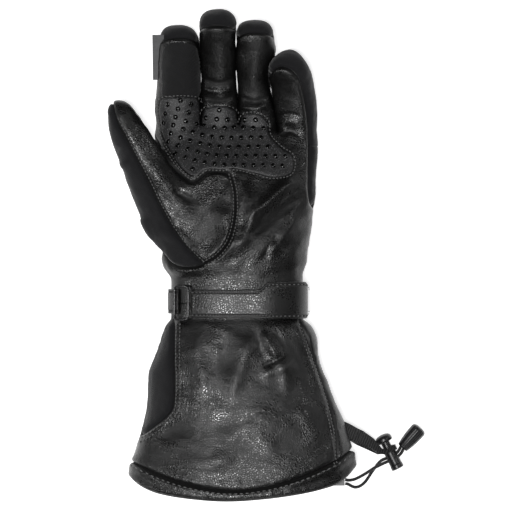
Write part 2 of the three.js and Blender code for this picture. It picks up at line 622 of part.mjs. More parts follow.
// Fingers between their boundary lines, each with a leather front and a softshell back
function fingerPieces(index) {
  const heights = Array.from({ length: 21 }, (_, i) => splitY + GAP / 2 + FINGER_REACH * i / 16);
  const left = heights.map((y) => [index === 0 ? -0.53 * PALM_WIDTH : columnAt(index, y) + GAP / 2, y]);
  const right = heights.map((y) => [index === 3 ? 0.7 * PALM_WIDTH : columnAt(index + 1, y) - GAP / 2, y]);
  const root = bodyForm(0, BODY_SIDES, BODY_STEP).intersect(prism([...left, ...right.reverse()]));
  const column = fingerForm(index, 0, FINGER_SIDES, FINGER_SHARES).intersect(between(splitY + GAP / 2, FAR))
    .add(root).subtract(hollow).subtract(thumbClear);
  const seam = FINGERS[index].seam;
  return [
    column.intersect(above(fingerSeam(index, seam, GAP / 2))),
    column.intersect(below(fingerSeam(index, seam, -GAP / 2))),
  ];
}

// Thin raised piece on the palm side, inside an outline and above a finger's line
function skin(outline, finger, share) {
  return patchForm.intersect(prism(outline)).subtract(clearForm).intersect(above(fingerSeam(finger, share, 0)));
}

const clearForm = palmForm(GAP);
const patchForm = palmForm(GAP + PATCH_THICKNESS);
const gripPatch = skin(onHand(GRIP_OUTLINE), 1, 0).subtract(thumbClear);
const touchPanel = skin(onHand(TOUCH_OUTLINE), 0, 0.2);
const sideLabel = above(fingerSeam(0, LABEL_SEAM, -LABEL_THICKNESS / 2))
  .intersect(below(fingerSeam(0, LABEL_SEAM, LABEL_THICKNESS / 2)))
  .intersect(prism(onHand(LABEL_OUTLINE))).subtract(clearForm);

// Distance along the wrist's section from the middle of the palm side, and out from it
const WRIST_STEPS = 240;
function wristPlace(along, out) {
  const section = bodySection(0);
  const middle = (section.right - section.left) / 2;
  const halfWidth = (section.right + section.left) / 2;
  const centre = (section.top + section.low) / 2;
  const halfDepth = (section.top - section.low) / 2;
  const point = (angle) => {
    const power = 2 / ROUNDNESS;
    const c = Math.sign(Math.sin(angle)) * Math.abs(Math.sin(angle)) ** power;
    const s = Math.sign(Math.cos(angle)) * Math.abs(Math.cos(angle)) ** power;
    return [middle + halfWidth * c, centre + halfDepth * s];
  };
  const turn = Math.sign(along) || 1;
  let [walked, angle] = [0, 0];
  let here = point(0);
  let next = here;
  while (walked <= Math.abs(along) && Math.abs(angle) < Math.PI) {
    angle += turn * Math.PI / WRIST_STEPS;
    here = next;
    next = point(angle);
    walked += Math.hypot(next[0] - here[0], next[1] - here[1]);
  }
  const length = Math.hypot(next[0] - here[0], next[1] - here[1]);
  const back = (walked - Math.abs(along)) / length;
  const [x, z] = [next[0] + (here[0] - next[0]) * back, next[1] + (here[1] - next[1]) * back];
  const normal = [-(next[1] - here[1]) * turn / length, (next[0] - here[0]) * turn / length];
  return [x + normal[0] * out, z + normal[1] * out];
}

// Outline of a band folded round a bar: out along its outer side and back along its inner one
function foldedBand(thickness, bar, under, over, way, layerGap) {
  const barOut = GAP + thickness + GAP + RING_WIRE / 2;
  const inner = RING_WIRE / 2 + GAP;
  const places = [];
  const push = (along, out) => places.push(wristPlace(along, out));
  const spread = (from, to) => Array.from({ length: 9 }, (_, i) => from + (to - from) * i / 8);
  const easeOut = (along) => Math.exp(-Math.abs(along - bar) / 5);
  const topOut = (along) => GAP + thickness + layerGap + (2 * inner - layerGap) * easeOut(along);
  spread(under, bar).forEach((along) => push(along, GAP));
  for (let i = 1; i < 6; i += 1) {
    const angle = Math.PI * i / 6;
    push(bar - way * (inner + thickness) * Math.sin(angle), barOut - (inner + thickness) * Math.cos(angle));
  }
  spread(bar, over).forEach((along) => push(along, topOut(along) + thickness));
  spread(over, bar).forEach((along) => push(along, topOut(along)));
  for (let i = 5; i > 0; i -= 1) {
    const angle = Math.PI * i / 6;
    push(bar - way * inner * Math.sin(angle), barOut - inner * Math.cos(angle));
  }
  spread(bar, under).forEach((along) => push(along, GAP + thickness));
  return places;
}

// Strap: from under its end tab round the ring's bar and back over itself
function wristStrap() {
  const low = STRAP_MIDDLE - STRAP_WIDTH / 2;
  const high = STRAP_MIDDLE + STRAP_WIDTH / 2;
  const [bar, under, end] = [STRAP.bar, STRAP.under, STRAP.end].map((share) => share * WRIST_WIDTH);
  const band = foldedBand(STRAP_THICKNESS, bar, under, end, 1, STRAP_FOLD_GAP);
  const [stepX] = wristPlace(STRAP.stepStart * WRIST_WIDTH, 0);
  const [tabX] = wristPlace(STRAP.stepEnd * WRIST_WIDTH, 0);
  const [endX] = wristPlace(end, GAP + 2 * STRAP_THICKNESS);
  const tabLow = TAB_RISE - TAB_WIDTH;
  const outline = [
    [-FAR, low], [stepX, low], [tabX, tabLow], [endX - 2, tabLow], [endX - 0.4, tabLow + 4],
    [endX + 0.6, (tabLow + TAB_RISE) / 2], [endX - 2.6, TAB_RISE - 5], [endX - 7, TAB_RISE],
    [tabX, TAB_RISE], [stepX, high], [-FAR, high],
  ];
  return crossPrism(band, low - 20, high + 20).intersect(prism(outline));
}

// Ring: round wire bent into a rectangle through the strap's fold and the ring tab's
function strapRing() {
  const wire = RING_WIRE / 2;
  const strapBar = wristPlace(STRAP.bar * WRIST_WIDTH, GAP * 2 + STRAP_THICKNESS + wire);
  const tabBar = wristPlace(STRAP.ringBar * WRIST_WIDTH, GAP * 2 + RING_TAB_THICKNESS + wire);
  const across = new THREE.Vector3(strapBar[0] - tabBar[0], 0, strapBar[1] - tabBar[1]);
  const half = across.length() / 2;
  across.normalize();
  const middle = new THREE.Vector3((strapBar[0] + tabBar[0]) / 2, RING_MIDDLE, (strapBar[1] + tabBar[1]) / 2);
  const normal = new THREE.Vector3().crossVectors(across, new THREE.Vector3(0, 1, 0));
  const long = RING_LENGTH / 2 - wire;
  const corner = 1.6;
  const rings = [];
  for (const [sx, sy, start] of [[1, 1, 0], [-1, 1, 90], [-1, -1, 180], [1, -1, 270]]) {
    for (const step of [0, 45, 90]) {
      const angle = THREE.MathUtils.degToRad(start + step);
      const out = new THREE.Vector3().addScaledVector(across, Math.cos(angle))
        .add(new THREE.Vector3(0, Math.sin(angle), 0));
      const centre = middle.clone().addScaledVector(across, sx * (half - corner))
        .add(new THREE.Vector3(0, sy * (long - corner), 0)).addScaledVector(out, corner);
      rings.push(Array.from({ length: 8 }, (_, j) => {
        const round = (2 * Math.PI * (j + 0.5)) / 8;
        const point = centre.clone().addScaledVector(out, wire * Math.cos(round))
          .addScaledVector(normal, wire * Math.sin(round));
        return point.toArray();
      }));
    }
  }
  return loft(rings, true);
}

// Ring tab: a narrow band from the side seam round the ring's outer bar
function ringTab() {
  const bar = STRAP.ringBar * WRIST_WIDTH;
  const seam = STRAP.tabSeam * WRIST_WIDTH;
  const band = foldedBand(RING_TAB_THICKNESS, bar, seam, seam, -1, STRAP_FOLD_GAP);
  const low = RING_TAB_MIDDLE - RING_TAB_WIDTH / 2;
  return crossPrism(band, low, low + RING_TAB_WIDTH);
}

// Lock: it lies on the floor, its button towards the fingers. Stations count from the button's
// top; the hole for both strands goes across, and the button's stem has a longer one.
const BUTTON_TOP = [102.7, -94.8];
const LOCK_ANGLE = -63.5;
const LOCK_RISE = BUTTON_DIAMETER / 2 + 0.1;
const HOLE_LENGTH = CORD_SPACING + CORD_DIAMETER + 2 * GAP;
const HOLE_STATION = 17.95;
const STEM_RADIUS = LOCK_DIAMETER / 2 - 1.2;
const BORE_RADIUS = STEM_RADIUS + GAP;
const BARREL_TOP = BUTTON_HEIGHT + LOCK_TRAVEL + GAP;
const FLOOR_WALL = 1.3;
const LOCK_SIDES = 14;
const BELL_SIDES = 18;

function spun(profile, sides) {
  return solidOf(new THREE.LatheGeometry(profile.map(([r, y]) => new THREE.Vector2(r, y)), sides));
}
function block(width, height, depth, x, y, z) {
  return solidOf(new THREE.BoxGeometry(width, height, depth).translate(x, y, z));
}
function lockBody() {
  const radius = LOCK_DIAMETER / 2;
  const length = LOCK_LENGTH - BARREL_TOP;
  const barrel = spun([
    [0, 0], [radius, 0], [radius + 0.6, 0.7], [radius + 0.6, 2], [radius, 2.7], [radius, length - 0.5],
    [radius - 0.4, length], [BORE_RADIUS, length], [BORE_RADIUS, FLOOR_WALL], [0, FLOOR_WALL],
  ], LOCK_SIDES);
  const hole = block(2 * LOCK_DIAMETER, HOLE_LENGTH, CORD_DIAMETER + 2 * GAP, 0, LOCK_LENGTH - HOLE_STATION, 0);
  return barrel.subtract(hole);
}
function lockPlunger() {
  const radius = BUTTON_DIAMETER / 2;
  const stemEnd = LOCK_LENGTH - HOLE_STATION - HOLE_LENGTH / 2 - FLOOR_WALL;
  const under = LOCK_LENGTH - BUTTON_HEIGHT;
  const plunger = spun([
    [0, stemEnd], [STEM_RADIUS, stemEnd], [STEM_RADIUS, under], [radius - 0.6, under],
    [radius, under + 0.6], [radius, under + 3], [radius * 0.86, under + 4.6], [radius * 0.5, under + 5.7],
    [0, under + BUTTON_HEIGHT],
  ], LOCK_SIDES);
  const middle = LOCK_LENGTH - HOLE_STATION + LOCK_TRAVEL / 2;
  return plunger.subtract(block(LOCK_DIAMETER, HOLE_LENGTH + LOCK_TRAVEL, CORD_DIAMETER + 2 * GAP, 0, middle, 0));
}

// Cord end: a ribbed bell with a blind socket for both strands
const BELL_START = [117.7, -104.1];
const BELL_ANGLE = 48;
const BELL_RISE = 5.9;
const SOCKET_DEPTH = 4.5;
function cordEnd() {
  const rows = [[0, 0.68], [0.04, 0.72], [0.70, 0.93], [0.74, 0.84], [0.80, 0.84], [0.83, 1], [0.95, 1], [1, 0.86]];
  const rings = rows.map(([share, girth]) => Array.from({ length: BELL_SIDES }, (_, j) => {
    const angle = (2 * Math.PI * j) / BELL_SIDES;
    const rib = share > 0.03 && share < 0.72 && j % 2 ? 0.35 : 0;
    const radius = girth * BELL_DIAMETER / 2 - rib;
    return [radius * Math.cos(angle), share * BELL_LENGTH, radius * Math.sin(angle)];
  }));
  const width = CORD_SPACING + CORD_DIAMETER + 2 * GAP;
  return loft(rings).subtract(block(width, 2 * SOCKET_DEPTH, CORD_DIAMETER + 2 * GAP, 0, 0, 0));
}

// Routes of the two strands, from the outlet in the hem through the lock into the cord end
const DRAWCORD_UPPER = [
  [77.0, -127.2, 2.2], [79.2, -127.6, 1.8], [81.6, -127.4, 1.4], [84.0, -126.8, 1.2],
  [87.0, -125.4, 1.3], [90.0, -123.7, 1.8], [93.0, -121.8, 2.7], [95.8, -119.9, 3.7],
  [98.5, -118.2, 4.6], [101.3, -116.8, 5.3], [104.0, -115.4, 5.8], [107.4, -113.95, 6.1],
  [111.26, -112.02, 6.1], [114.6, -110.3, 6.1], [117.0, -107.9, 6.0], [118.63, -104.94, 5.9],
  [121.3, -102.0, 5.9],
];
const DRAWCORD_LOWER = [
  [77.0, -130.0, 2.2], [79.0, -130.4, 2.0], [81.3, -131.7, 1.5], [83.8, -132.6, 1.2],
  [86.6, -132.2, 1.2], [89.2, -130.7, 1.2], [91.4, -128.6, 1.2], [93.3, -126.0, 1.2],
  [95.1, -123.2, 1.2], [97.0, -120.4, 1.3], [98.9, -117.8, 1.9], [100.6, -115.5, 3.0],
  [102.4, -113.6, 4.3], [104.4, -112.4, 5.4], [106.3, -111.7, 6.05], [110.14, -109.78, 6.1],
  [113.3, -108.1, 6.1], [115.2, -106.0, 6.0], [116.77, -103.26, 5.9], [119.4, -100.3, 5.9],
];
function strand(points) {
  const curve = new THREE.CatmullRomCurve3(points.map((p) => new THREE.Vector3(...p)));
  const steps = Math.round(curve.getLength() / (2.2 * CORD_DIAMETER));
  const shape = new THREE.Shape(Array.from({ length: 8 }, (_, j) => {
    const angle = (2 * Math.PI * (j + 0.5)) / 8;
    return new THREE.Vector2(CORD_DIAMETER / 2 * Math.cos(angle), CORD_DIAMETER / 2 * Math.sin(angle));
  }));
  return solidOf(new THREE.ExtrudeGeometry(shape, { steps, extrudePath: curve, bevelEnabled: false }));
}

// Outlet: a flat fabric end under the hem's corner, where the strands leave
function cordOutlet() {
  const end = DRAWCORD_LOWER[0][0] - 2 * GAP;
  const high = DRAWCORD_UPPER[0][1] + 4.2;
  const low = DRAWCORD_LOWER[0][1] - 1.4;
  return block(10, high - low, 3.6, end - 5, (high + low) / 2, 2.2)
    .subtract(bodyForm(BINDING_PROUD + GAP, BODY_SIDES, BODY_STEP).intersect(aboveHem('edge', -GAP)));
}

// Tether: webbing from the cuff's side seam to the lock, round its barrel and back beneath.
// aside counts from the cuff's edge where the webbing is sewn in.
function tether() {
  const rootY = -88.5;
  const rootX = bodySection(rootY).right;
  const lean = THREE.MathUtils.degToRad(LOCK_ANGLE);
  const axis = [Math.cos(lean), Math.sin(lean)];
  const across = [-axis[1], axis[0]];
  const loopStation = 12.2;
  const loopStep = 30;
  const radius = (LOCK_DIAMETER / 2 + GAP) / Math.cos(THREE.MathUtils.degToRad(loopStep / 2))
    + TETHER_THICKNESS / 2;
  const centre = [BUTTON_TOP[0] + axis[0] * loopStation, BUTTON_TOP[1] + axis[1] * loopStation];
  const stations = [
    { at: [rootX - 6, rootY + 1.5, 27.5], turn: 20, wide: 1 },
    { at: [rootX + 1, rootY - 1.5, 26], turn: 20, wide: 1 },
    { at: [rootX + 7, rootY - 5, 23], turn: 22, wide: 1 },
    { at: [87.5, -95.4, 18.5], turn: 26, wide: 0.95 },
    { at: [95, -99.8, 14.5], turn: 20, wide: 0.75 },
    { at: [101.7, -106.2, 12], turn: -10, wide: 0.5 },
  ];
  for (let angle = 120; angle >= -120; angle -= loopStep) {
    const turned = THREE.MathUtils.degToRad(angle);
    const side = radius * Math.cos(turned);
    stations.push({
      at: [centre[0] + across[0] * side, centre[1] + across[1] * side, LOCK_RISE + radius * Math.sin(turned)],
      turn: -26.5,
      wide: 0.4,
    });
  }
  stations.push(
    { at: [100.9, -107, 1.6], turn: -10, wide: 0.48 },
    { at: [94.0, -102.4, 3.4], turn: 14, wide: 0.75 },
    { at: [87.2, -98.2, 8], turn: 26, wide: 0.95 },
    { at: [rootX + 6, rootY - 6, 17.5], turn: 22, wide: 1 },
    { at: [rootX + 1, rootY - 3, 22.5], turn: 20, wide: 1 },
    { at: [rootX - 6, rootY, 24.5], turn: 20, wide: 1 },
  );
  const rings = stations.map((station, i) => {
    const before = new THREE.Vector3(...stations[Math.max(i - 1, 0)].at);
    const after = new THREE.Vector3(...stations[Math.min(i + 1, stations.length - 1)].at);
    const along = after.sub(before).normalize();
    const turned = THREE.MathUtils.degToRad(-station.turn);
    const wide = new THREE.Vector3(-Math.sin(turned), Math.cos(turned), 0);
    wide.addScaledVector(along, -wide.dot(along)).normalize();
    const thick = new THREE.Vector3().crossVectors(along, wide);
    return [[1, 1], [-1, 1], [-1, -1], [1, -1]].map(([a, b]) => new THREE.Vector3(...station.at)
      .addScaledVector(wide, a * station.wide * TETHER_WIDTH / 2)
      .addScaledVector(thick, b * TETHER_THICKNESS / 2).toArray());
  });
  return loft(rings).subtract(bodyForm(GAP, BODY_SIDES, BODY_STEP));
}

// Naming, placing and finish of each piece
const glove = new THREE.Group();
function addPiece(name, solid, finish) {
  const source = solid.getMesh();
  const geometry = new THREE.BufferGeometry();
  geometry.setAttribute('position', new THREE.BufferAttribute(new Float32Array(source.vertProperties), 3));
  geometry.setIndex(new THREE.BufferAttribute(new Uint32Array(source.triVerts), 1));
  geometry.computeVertexNormals();
  const mesh = new THREE.Mesh(geometry, new THREE.MeshStandardMaterial({ ...finish, flatShading: true }));
  mesh.name = name;
  glove.add(mesh);
  return mesh;
}

addPiece('palm_panel', shell.intersect(handBand).intersect(palmSide)
  .subtract(besideThumbBack).subtract(besideThumbFront), LEATHER);
addPiece('thumb_front', thumbFrontPiece, LEATHER);
addPiece('thumb_back', shell.intersect(thumbBack), SOFTSHELL);
addPiece('back_panel', shell.intersect(handBand).intersect(backSide).subtract(besideThumbBack), SOFTSHELL);
FINGERS.forEach((finger, i) => {
  const [front, back] = fingerPieces(i);
  addPiece(`${finger.name}_front`, front, LEATHER);
  addPiece(`${finger.name}_back`, back, SOFTSHELL);
});
addPiece('cuff_front', cuffPalmSide.subtract(besideSide(GAP / 2)).subtract(besideGusset(-GAP / 2)), LEATHER);
addPiece('cuff_side_panel', cuffPalmSide.intersect(besideSide(-GAP / 2)), SOFTSHELL);
addPiece('cuff_gusset', cuffPalmSide.intersect(besideGusset(GAP / 2)), LEATHER);
addPiece('cuff_back', shell.intersect(cuffBand).intersect(backSide), SOFTSHELL);
addPiece('hem_binding', bindingForm.intersect(aboveHem('edge', 0)).subtract(aboveHem('seam', -GAP / 2)), LEATHER);
addPiece('grip_patch', gripPatch, GRIP);
addPiece('touch_panel', touchPanel, GRIP);
addPiece('side_label', sideLabel, LABEL);
addPiece('wrist_strap', wristStrap(), LEATHER);
addPiece('strap_ring', strapRing(), PLASTIC);
addPiece('ring_tab', ringTab(), LEATHER);
addPiece('tether', tether(), WEBBING);
addPiece('cord_outlet', cordOutlet(), WEBBING);

// The lock and the cord end are turned to lie along their axes
function lay(mesh, x, y, z, angle, shift) {
  const turned = THREE.MathUtils.degToRad(angle);
  mesh.rotation.z = turned - Math.PI / 2;
  mesh.position.set(x + shift * Math.cos(turned), y + shift * Math.sin(turned), z);
}
const cordPieces = [
  addPiece('cord_lock_body', lockBody(), PLASTIC),
  addPiece('cord_lock_plunger', lockPlunger(), PLASTIC),
  addPiece('cord_end', cordEnd(), PLASTIC),
  addPiece('drawcord_upper', strand(DRAWCORD_UPPER), CORD),
  addPiece('drawcord_lower', strand(DRAWCORD_LOWER), CORD),
];
lay(cordPieces[0], ...BUTTON_TOP, LOCK_RISE, LOCK_ANGLE + 180, -LOCK_LENGTH);
lay(cordPieces[1], ...BUTTON_TOP, LOCK_RISE, LOCK_ANGLE + 180, -LOCK_LENGTH);
lay(cordPieces[2], ...BELL_START, BELL_RISE, BELL_ANGLE, 0);

// The origin is the middle of the glove's own box, on the floor
const box = new THREE.Box3();
glove.children.filter((mesh) => !cordPieces.includes(mesh)).forEach((mesh) => box.expandByObject(mesh));
glove.position.set(-(box.min.x + box.max.x) / 2, -(box.min.y + box.max.y) / 2, -box.min.z);

export default glove;
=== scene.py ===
"""A left gauntlet glove lying palm up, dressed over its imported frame.

Lengths are millimetres from the wrist's middle on the floor: X towards the little finger, Y towards
the fingertips, Z up. They become metres in the part's own frame when a mesh is made.
"""

import math

import bmesh
import bpy
import numpy as np
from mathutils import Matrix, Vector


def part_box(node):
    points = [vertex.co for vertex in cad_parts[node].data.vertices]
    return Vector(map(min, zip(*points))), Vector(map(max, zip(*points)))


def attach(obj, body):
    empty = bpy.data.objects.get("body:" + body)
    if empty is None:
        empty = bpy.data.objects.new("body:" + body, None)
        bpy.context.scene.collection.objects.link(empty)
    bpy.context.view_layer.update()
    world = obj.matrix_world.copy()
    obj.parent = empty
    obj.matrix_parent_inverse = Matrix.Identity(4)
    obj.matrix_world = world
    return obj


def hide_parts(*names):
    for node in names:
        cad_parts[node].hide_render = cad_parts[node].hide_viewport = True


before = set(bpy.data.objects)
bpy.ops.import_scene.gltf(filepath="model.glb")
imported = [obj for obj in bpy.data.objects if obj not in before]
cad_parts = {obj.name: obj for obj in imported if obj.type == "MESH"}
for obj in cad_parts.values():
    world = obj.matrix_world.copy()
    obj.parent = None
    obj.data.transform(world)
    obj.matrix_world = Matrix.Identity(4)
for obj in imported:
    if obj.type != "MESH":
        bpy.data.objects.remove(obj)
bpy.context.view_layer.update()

MM = 0.001
GAP = 0.3

# Hand and cuff
CUFF_LENGTH = 139
HAND_LENGTH = 120
FINGER_REACH = 90.5
WRIST_WIDTH = 94
HEM_WIDTH = 160
PALM_WIDTH = 114
WRIST_DEPTH = 46
HEM_DEPTH = 60
PALM_DEPTH = 50
FINGER_DEPTH = 27
THUMB_LENGTH = 119
THUMB_WIDTH = 31.4
THUMB_DEPTH = 34
HAND_WALL = 3.4
CUFF_WALL = 2.8
BINDING_PROUD = 0.8
PATCH_THICKNESS = 1

# Strap, ring and ring tab
STRAP_WIDTH = 20
STRAP_THICKNESS = 2
ROW_INSET = 2.0
STRAP_MIDDLE = -0.4
TAB_RISE = 15.3
RING_WIRE = 1.8
RING_LENGTH = 25.6
RING_MIDDLE = 0.3
RING_TAB_WIDTH = 17.5
RING_TAB_THICKNESS = 1
RING_TAB_MIDDLE = 1.3
STRAP_BAR = -0.352 * WRIST_WIDTH
RING_BAR = -0.462 * WRIST_WIDTH
TAB_SEAM = -0.565 * WRIST_WIDTH
STRAP_END = 0.567 * WRIST_WIDTH
STRAP_LIFT = 1.6
TAB_LIFT = 1.3
TAB_EASE = 3.5

# Drawcord, lock, cord end and tether
CORD_DIAMETER = 2.2
CORD_SPACING = 2.5
LOCK_LENGTH = 27
LOCK_DIAMETER = 8.6
LOCK_TRAVEL = 3.5
BUTTON_DIAMETER = 12
BUTTON_HEIGHT = 6
BUTTON_TOP = (102.7, -94.8)
LOCK_ANGLE = -63.5
LOCK_RISE = BUTTON_DIAMETER / 2 + 0.1
HOLE_STATION = 17.95
HOLE_LENGTH = CORD_SPACING + CORD_DIAMETER + 2 * GAP
BARREL_TOP = BUTTON_HEIGHT + LOCK_TRAVEL + GAP
STEM_RADIUS = LOCK_DIAMETER / 2 - 1.2
FLOOR_WALL = 1.3
HOLE_REACH = 9
BELL_LENGTH = 19.5
BELL_DIAMETER = 11.4
BELL_START = (117.7, -104.1)
BELL_ANGLE = 48
BELL_RISE = 5.9
SOCKET_DEPTH = 4.5

# Routes of the two drawcord strands
DRAWCORD_UPPER = [
    (77.0, -127.2, 2.2), (79.2, -127.6, 1.8), (81.6, -127.4, 1.4), (84.0, -126.8, 1.2),
    (87.0, -125.4, 1.3), (90.0, -123.7, 1.8), (93.0, -121.8, 2.7), (95.8, -119.9, 3.7),
    (98.5, -118.2, 4.6), (101.3, -116.8, 5.3), (104.0, -115.4, 5.8), (107.4, -113.95, 6.1),
    (111.26, -112.02, 6.1), (114.6, -110.3, 6.1), (117.0, -107.9, 6.0), (118.63, -104.94, 5.9),
    (121.3, -102.0, 5.9),
]
DRAWCORD_LOWER = [
    (77.0, -130.0, 2.2), (79.0, -130.4, 2.0), (81.3, -131.7, 1.5), (83.8, -132.6, 1.2),
    (86.6, -132.2, 1.2), (89.2, -130.7, 1.2), (91.4, -128.6, 1.2), (93.3, -126.0, 1.2),
    (95.1, -123.2, 1.2), (97.0, -120.4, 1.3), (98.9, -117.8, 1.9), (100.6, -115.5, 3.0),
    (102.4, -113.6, 4.3), (104.4, -112.4, 5.4), (106.3, -111.7, 6.05), (110.14, -109.78, 6.1),
    (113.3, -108.1, 6.1), (115.2, -106.0, 6.0), (116.77, -103.26, 5.9), (119.4, -100.3, 5.9),
]

# The wrist's middle in the part's frame, from pieces whose places are known
SHIFT = np.array([
    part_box("cord_outlet")[1][0] / MM - (DRAWCORD_LOWER[0][0] - 2 * GAP),
    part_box("palm_panel")[0][1] / MM - GAP / 2,
    0,
])

# Sections of the cuff: share down it, left, right, top and low, as in the solids
CUFF_ROWS = [
    (0.000, 0.02, -0.02, 0.00, -0.05), (0.108, 0.13, 0.14, 0.16, -0.03),
    (0.190, 0.22, 0.26, 0.30, -0.01), (0.272, 0.34, 0.31, 0.40, 0.02),
    (0.354, 0.48, 0.39, 0.52, 0.05), (0.477, 0.50, 0.58, 0.66, 0.08),
    (0.600, 0.58, 0.84, 0.80, 0.11), (0.682, 0.67, 0.93, 0.88, 0.13),
    (0.831, 0.87, 1.08, 0.96, 0.15), (1.060, 0.97, 1.13, 1.00, 0.16),
]

# Sections of the hand: share up it, left, right, top and low
HAND_ROWS = [
    (0.000, 0.08, -0.07, 0.98, -0.05), (0.113, 0.24, -0.15, 0.99, -0.04),
    (0.208, 0.56, 0.06, 1.00, -0.01), (0.303, 0.72, 0.18, 1.01, 0.02),
    (0.398, 0.86, 0.38, 1.01, 0.04), (0.540, 1.00, 0.55, 0.98, 0.06),
    (0.683, 1.08, 0.80, 0.92, 0.06), (0.826, 1.15, 0.79, 0.80, 0.05),
    (0.968, 1.15, 0.75, 0.64, 0.04), (1.060, 1.12, 0.70, 0.56, 0.02),
]

# Lines between the fingers: share of their reach past the roots, then five shares of PALM_WIDTH
COLUMN_ROWS = [
    (-0.118, -0.513, -0.238, 0.0035, 0.244, 0.485), (0.079, -0.511, -0.233, 0.002, 0.244, 0.493),
    (0.276, -0.508, -0.232, 0.000, 0.219, 0.489), (0.394, -0.505, -0.232, -0.006, 0.200, 0.474),
    (0.496, -0.502, -0.232, -0.011, 0.190, 0.452), (0.590, -0.499, -0.233, -0.0125, 0.219, 0.419),
    (0.669, -0.497, -0.238, -0.0125, 0.238, 0.400), (0.787, -0.488, -0.243, -0.0130, 0.222, 0.385),
]

# Fingers: name, reach as a share of FINGER_REACH, curl in degrees, height of the front's seam
FINGERS = [
    ("index", 0.860, 42, 0.56), ("middle", 0.975, 50, 0.54),
    ("ring", 0.893, 44, 0.52), ("little", 0.662, 56, 0.52),
]
CROTCHES = (127, 127, 121)
FINGER_SPLIT = 112

# Girth of a finger: share along it, width and depth
FINGER_GIRTH = [
    (0.00, 0.60, 0.60), (0.14, 1.00, 1.00), (0.34, 1.00, 1.00), (0.50, 1.00, 1.00),
    (0.67, 1.00, 1.00), (0.82, 0.99, 0.97), (0.92, 0.94, 0.83), (0.975, 0.77, 0.57),
    (1.00, 0.46, 0.24),
]

# Sections of the thumb from its tip: share along it, outer, inner, rise and depth
THUMB_ROWS = [
    (0.000, 0.06, 0.06, 1.20, 0.06), (0.022, 0.13, 0.19, 1.19, 0.15),
    (0.068, 0.235, 0.275, 1.17, 0.24), (0.132, 0.355, 0.320, 1.14, 0.31),
    (0.230, 0.484, 0.375, 1.10, 0.36), (0.329, 0.555, 0.427, 1.05, 0.40),
    (0.431, 0.623, 0.432, 0.99, 0.43), (0.533, 0.693, 0.455, 0.92, 0.47),
    (0.635, 0.761, 0.545, 0.85, 0.50), (0.731, 0.832, 0.636, 0.79, 0.53),
    (0.850, 0.805, 0.636, 0.76, 0.54), (0.934, 0.700, 0.600, 0.75, 0.52),
]
THUMB_TIP = (-0.781 * PALM_WIDTH, 1.188 * HAND_LENGTH)
THUMB_LEAN = math.radians(30.9)

# Seams, as shares of PALM_WIDTH across and HAND_LENGTH up from the wrist
THUMB_SEAM = [
    (-0.80, 1.30), (-0.757, 1.09), (-0.664, 0.915), (-0.563, 0.731), (-0.467, 0.546),
    (-0.346, 0.362), (-0.215, 0.232),
]
BASE_SEAM = [(-0.215, 0.232), (-0.303, 0.214), (-0.407, 0.232), (-0.469, 0.291), (-0.62, 0.45)]
ARC_SEAM = [
    (-0.215, 0.232), (-0.127, 0.282), (-0.055, 0.371), (-0.019, 0.499), (-0.017, 0.648), (-0.046, 0.775),
]
WEB_SEAM = [(-0.18, 0.775), (-0.283, 0.716), (-0.345, 0.755), (-0.417, 0.826), (-0.48, 0.92)]

THUMB_LEATHER_EDGE = ARC_SEAM[:-1] + [(-0.05, 0.755), (-0.10, 0.775)] + WEB_SEAM[:-1] + [
    (-0.48, 0.92), (-0.53, 1.0), (-0.60, 1.1), (-0.80, 1.4),
]

# Cuff seams, as shares of HEM_WIDTH across and CUFF_LENGTH down
SIDE_SEAM = [
    (-0.280, -0.1), (-0.284, 0.077), (-0.286, 0.241), (-0.288, 0.523), (-0.318, 0.575),
    (-0.362, 0.616), (-0.422, 0.667), (-0.60, 0.76), (-1.5, 0.93),
]
GUSSET_SEAM = [
    (0.250, -0.1), (0.275, 0.098), (0.312, 0.205), (0.355, 0.344), (0.408, 0.533),
    (0.434, 0.667), (0.438, 0.78), (0.450, 0.83), (0.456, 1.2),
]
HEM_ROWS = [
    (-0.600, 0.740, 0.705), (-0.520, 0.836, 0.785), (-0.472, 0.900, 0.814), (-0.423, 0.938, 0.838),
    (-0.348, 0.969, 0.877), (-0.214, 0.993, 0.924), (-0.049, 1.005, 0.952), (0.120, 0.993, 0.936),
    (0.276, 0.969, 0.887), (0.388, 0.941, 0.833), (0.452, 0.915, 0.794), (0.500, 0.872, 0.757),
    (0.553, 0.790, 0.715), (0.640, 0.680, 0.630),
]
SIDE_SEAM_RISE = [(-1.2, 0.54), (-0.5, 0.50), (0, 0.48), (0.5, 0.46), (0.94, 0.42), (1.3, 0.42)]

# Outlines of the raised patches, in the hand's shares
GRIP_OUTLINE = [
    (-0.45, 0.955), (-0.478, 1.03), (-0.478, 1.195), (-0.45, 1.218), (-0.275, 1.218),
    (-0.25, 1.188), (-0.243, 1.05), (-0.222, 1.05), (-0.205, 1.147), (-0.15, 1.168),
    (-0.075, 1.165), (-0.025, 1.135), (-0.008, 1.05), (0.012, 1.05), (0.035, 1.10),
    (0.056, 1.123), (0.125, 1.123), (0.175, 1.081), (0.195, 0.992), (0.269, 0.913),
    (0.331, 0.873), (0.344, 0.814), (0.319, 0.761), (0.213, 0.743), (0.106, 0.766),
    (-0.013, 0.79), (-0.10, 0.785), (-0.20, 0.785), (-0.262, 0.745), (-0.325, 0.775),
    (-0.385, 0.84),
]
TOUCH_OUTLINE = [
    (-0.472, 1.23), (-0.472, 1.48), (-0.44, 1.53), (-0.356, 1.55), (-0.275, 1.53),
    (-0.247, 1.48), (-0.247, 1.23),
]

# Dots of the grip patch: the lattice in photograph pixels, and the dots in millimetres
DOT_ORIGIN = (168.6, 141.4)
DOT_STEPS = (9.7, 9.3)
DOT_LEAN = 2.4
DOT_SAG = 15.7
DOT_SAG_WIDTH = 60
DOT_MARGIN = 1.7
DOT_RADIUS = 1.9
DOT_HEIGHT = 0.95

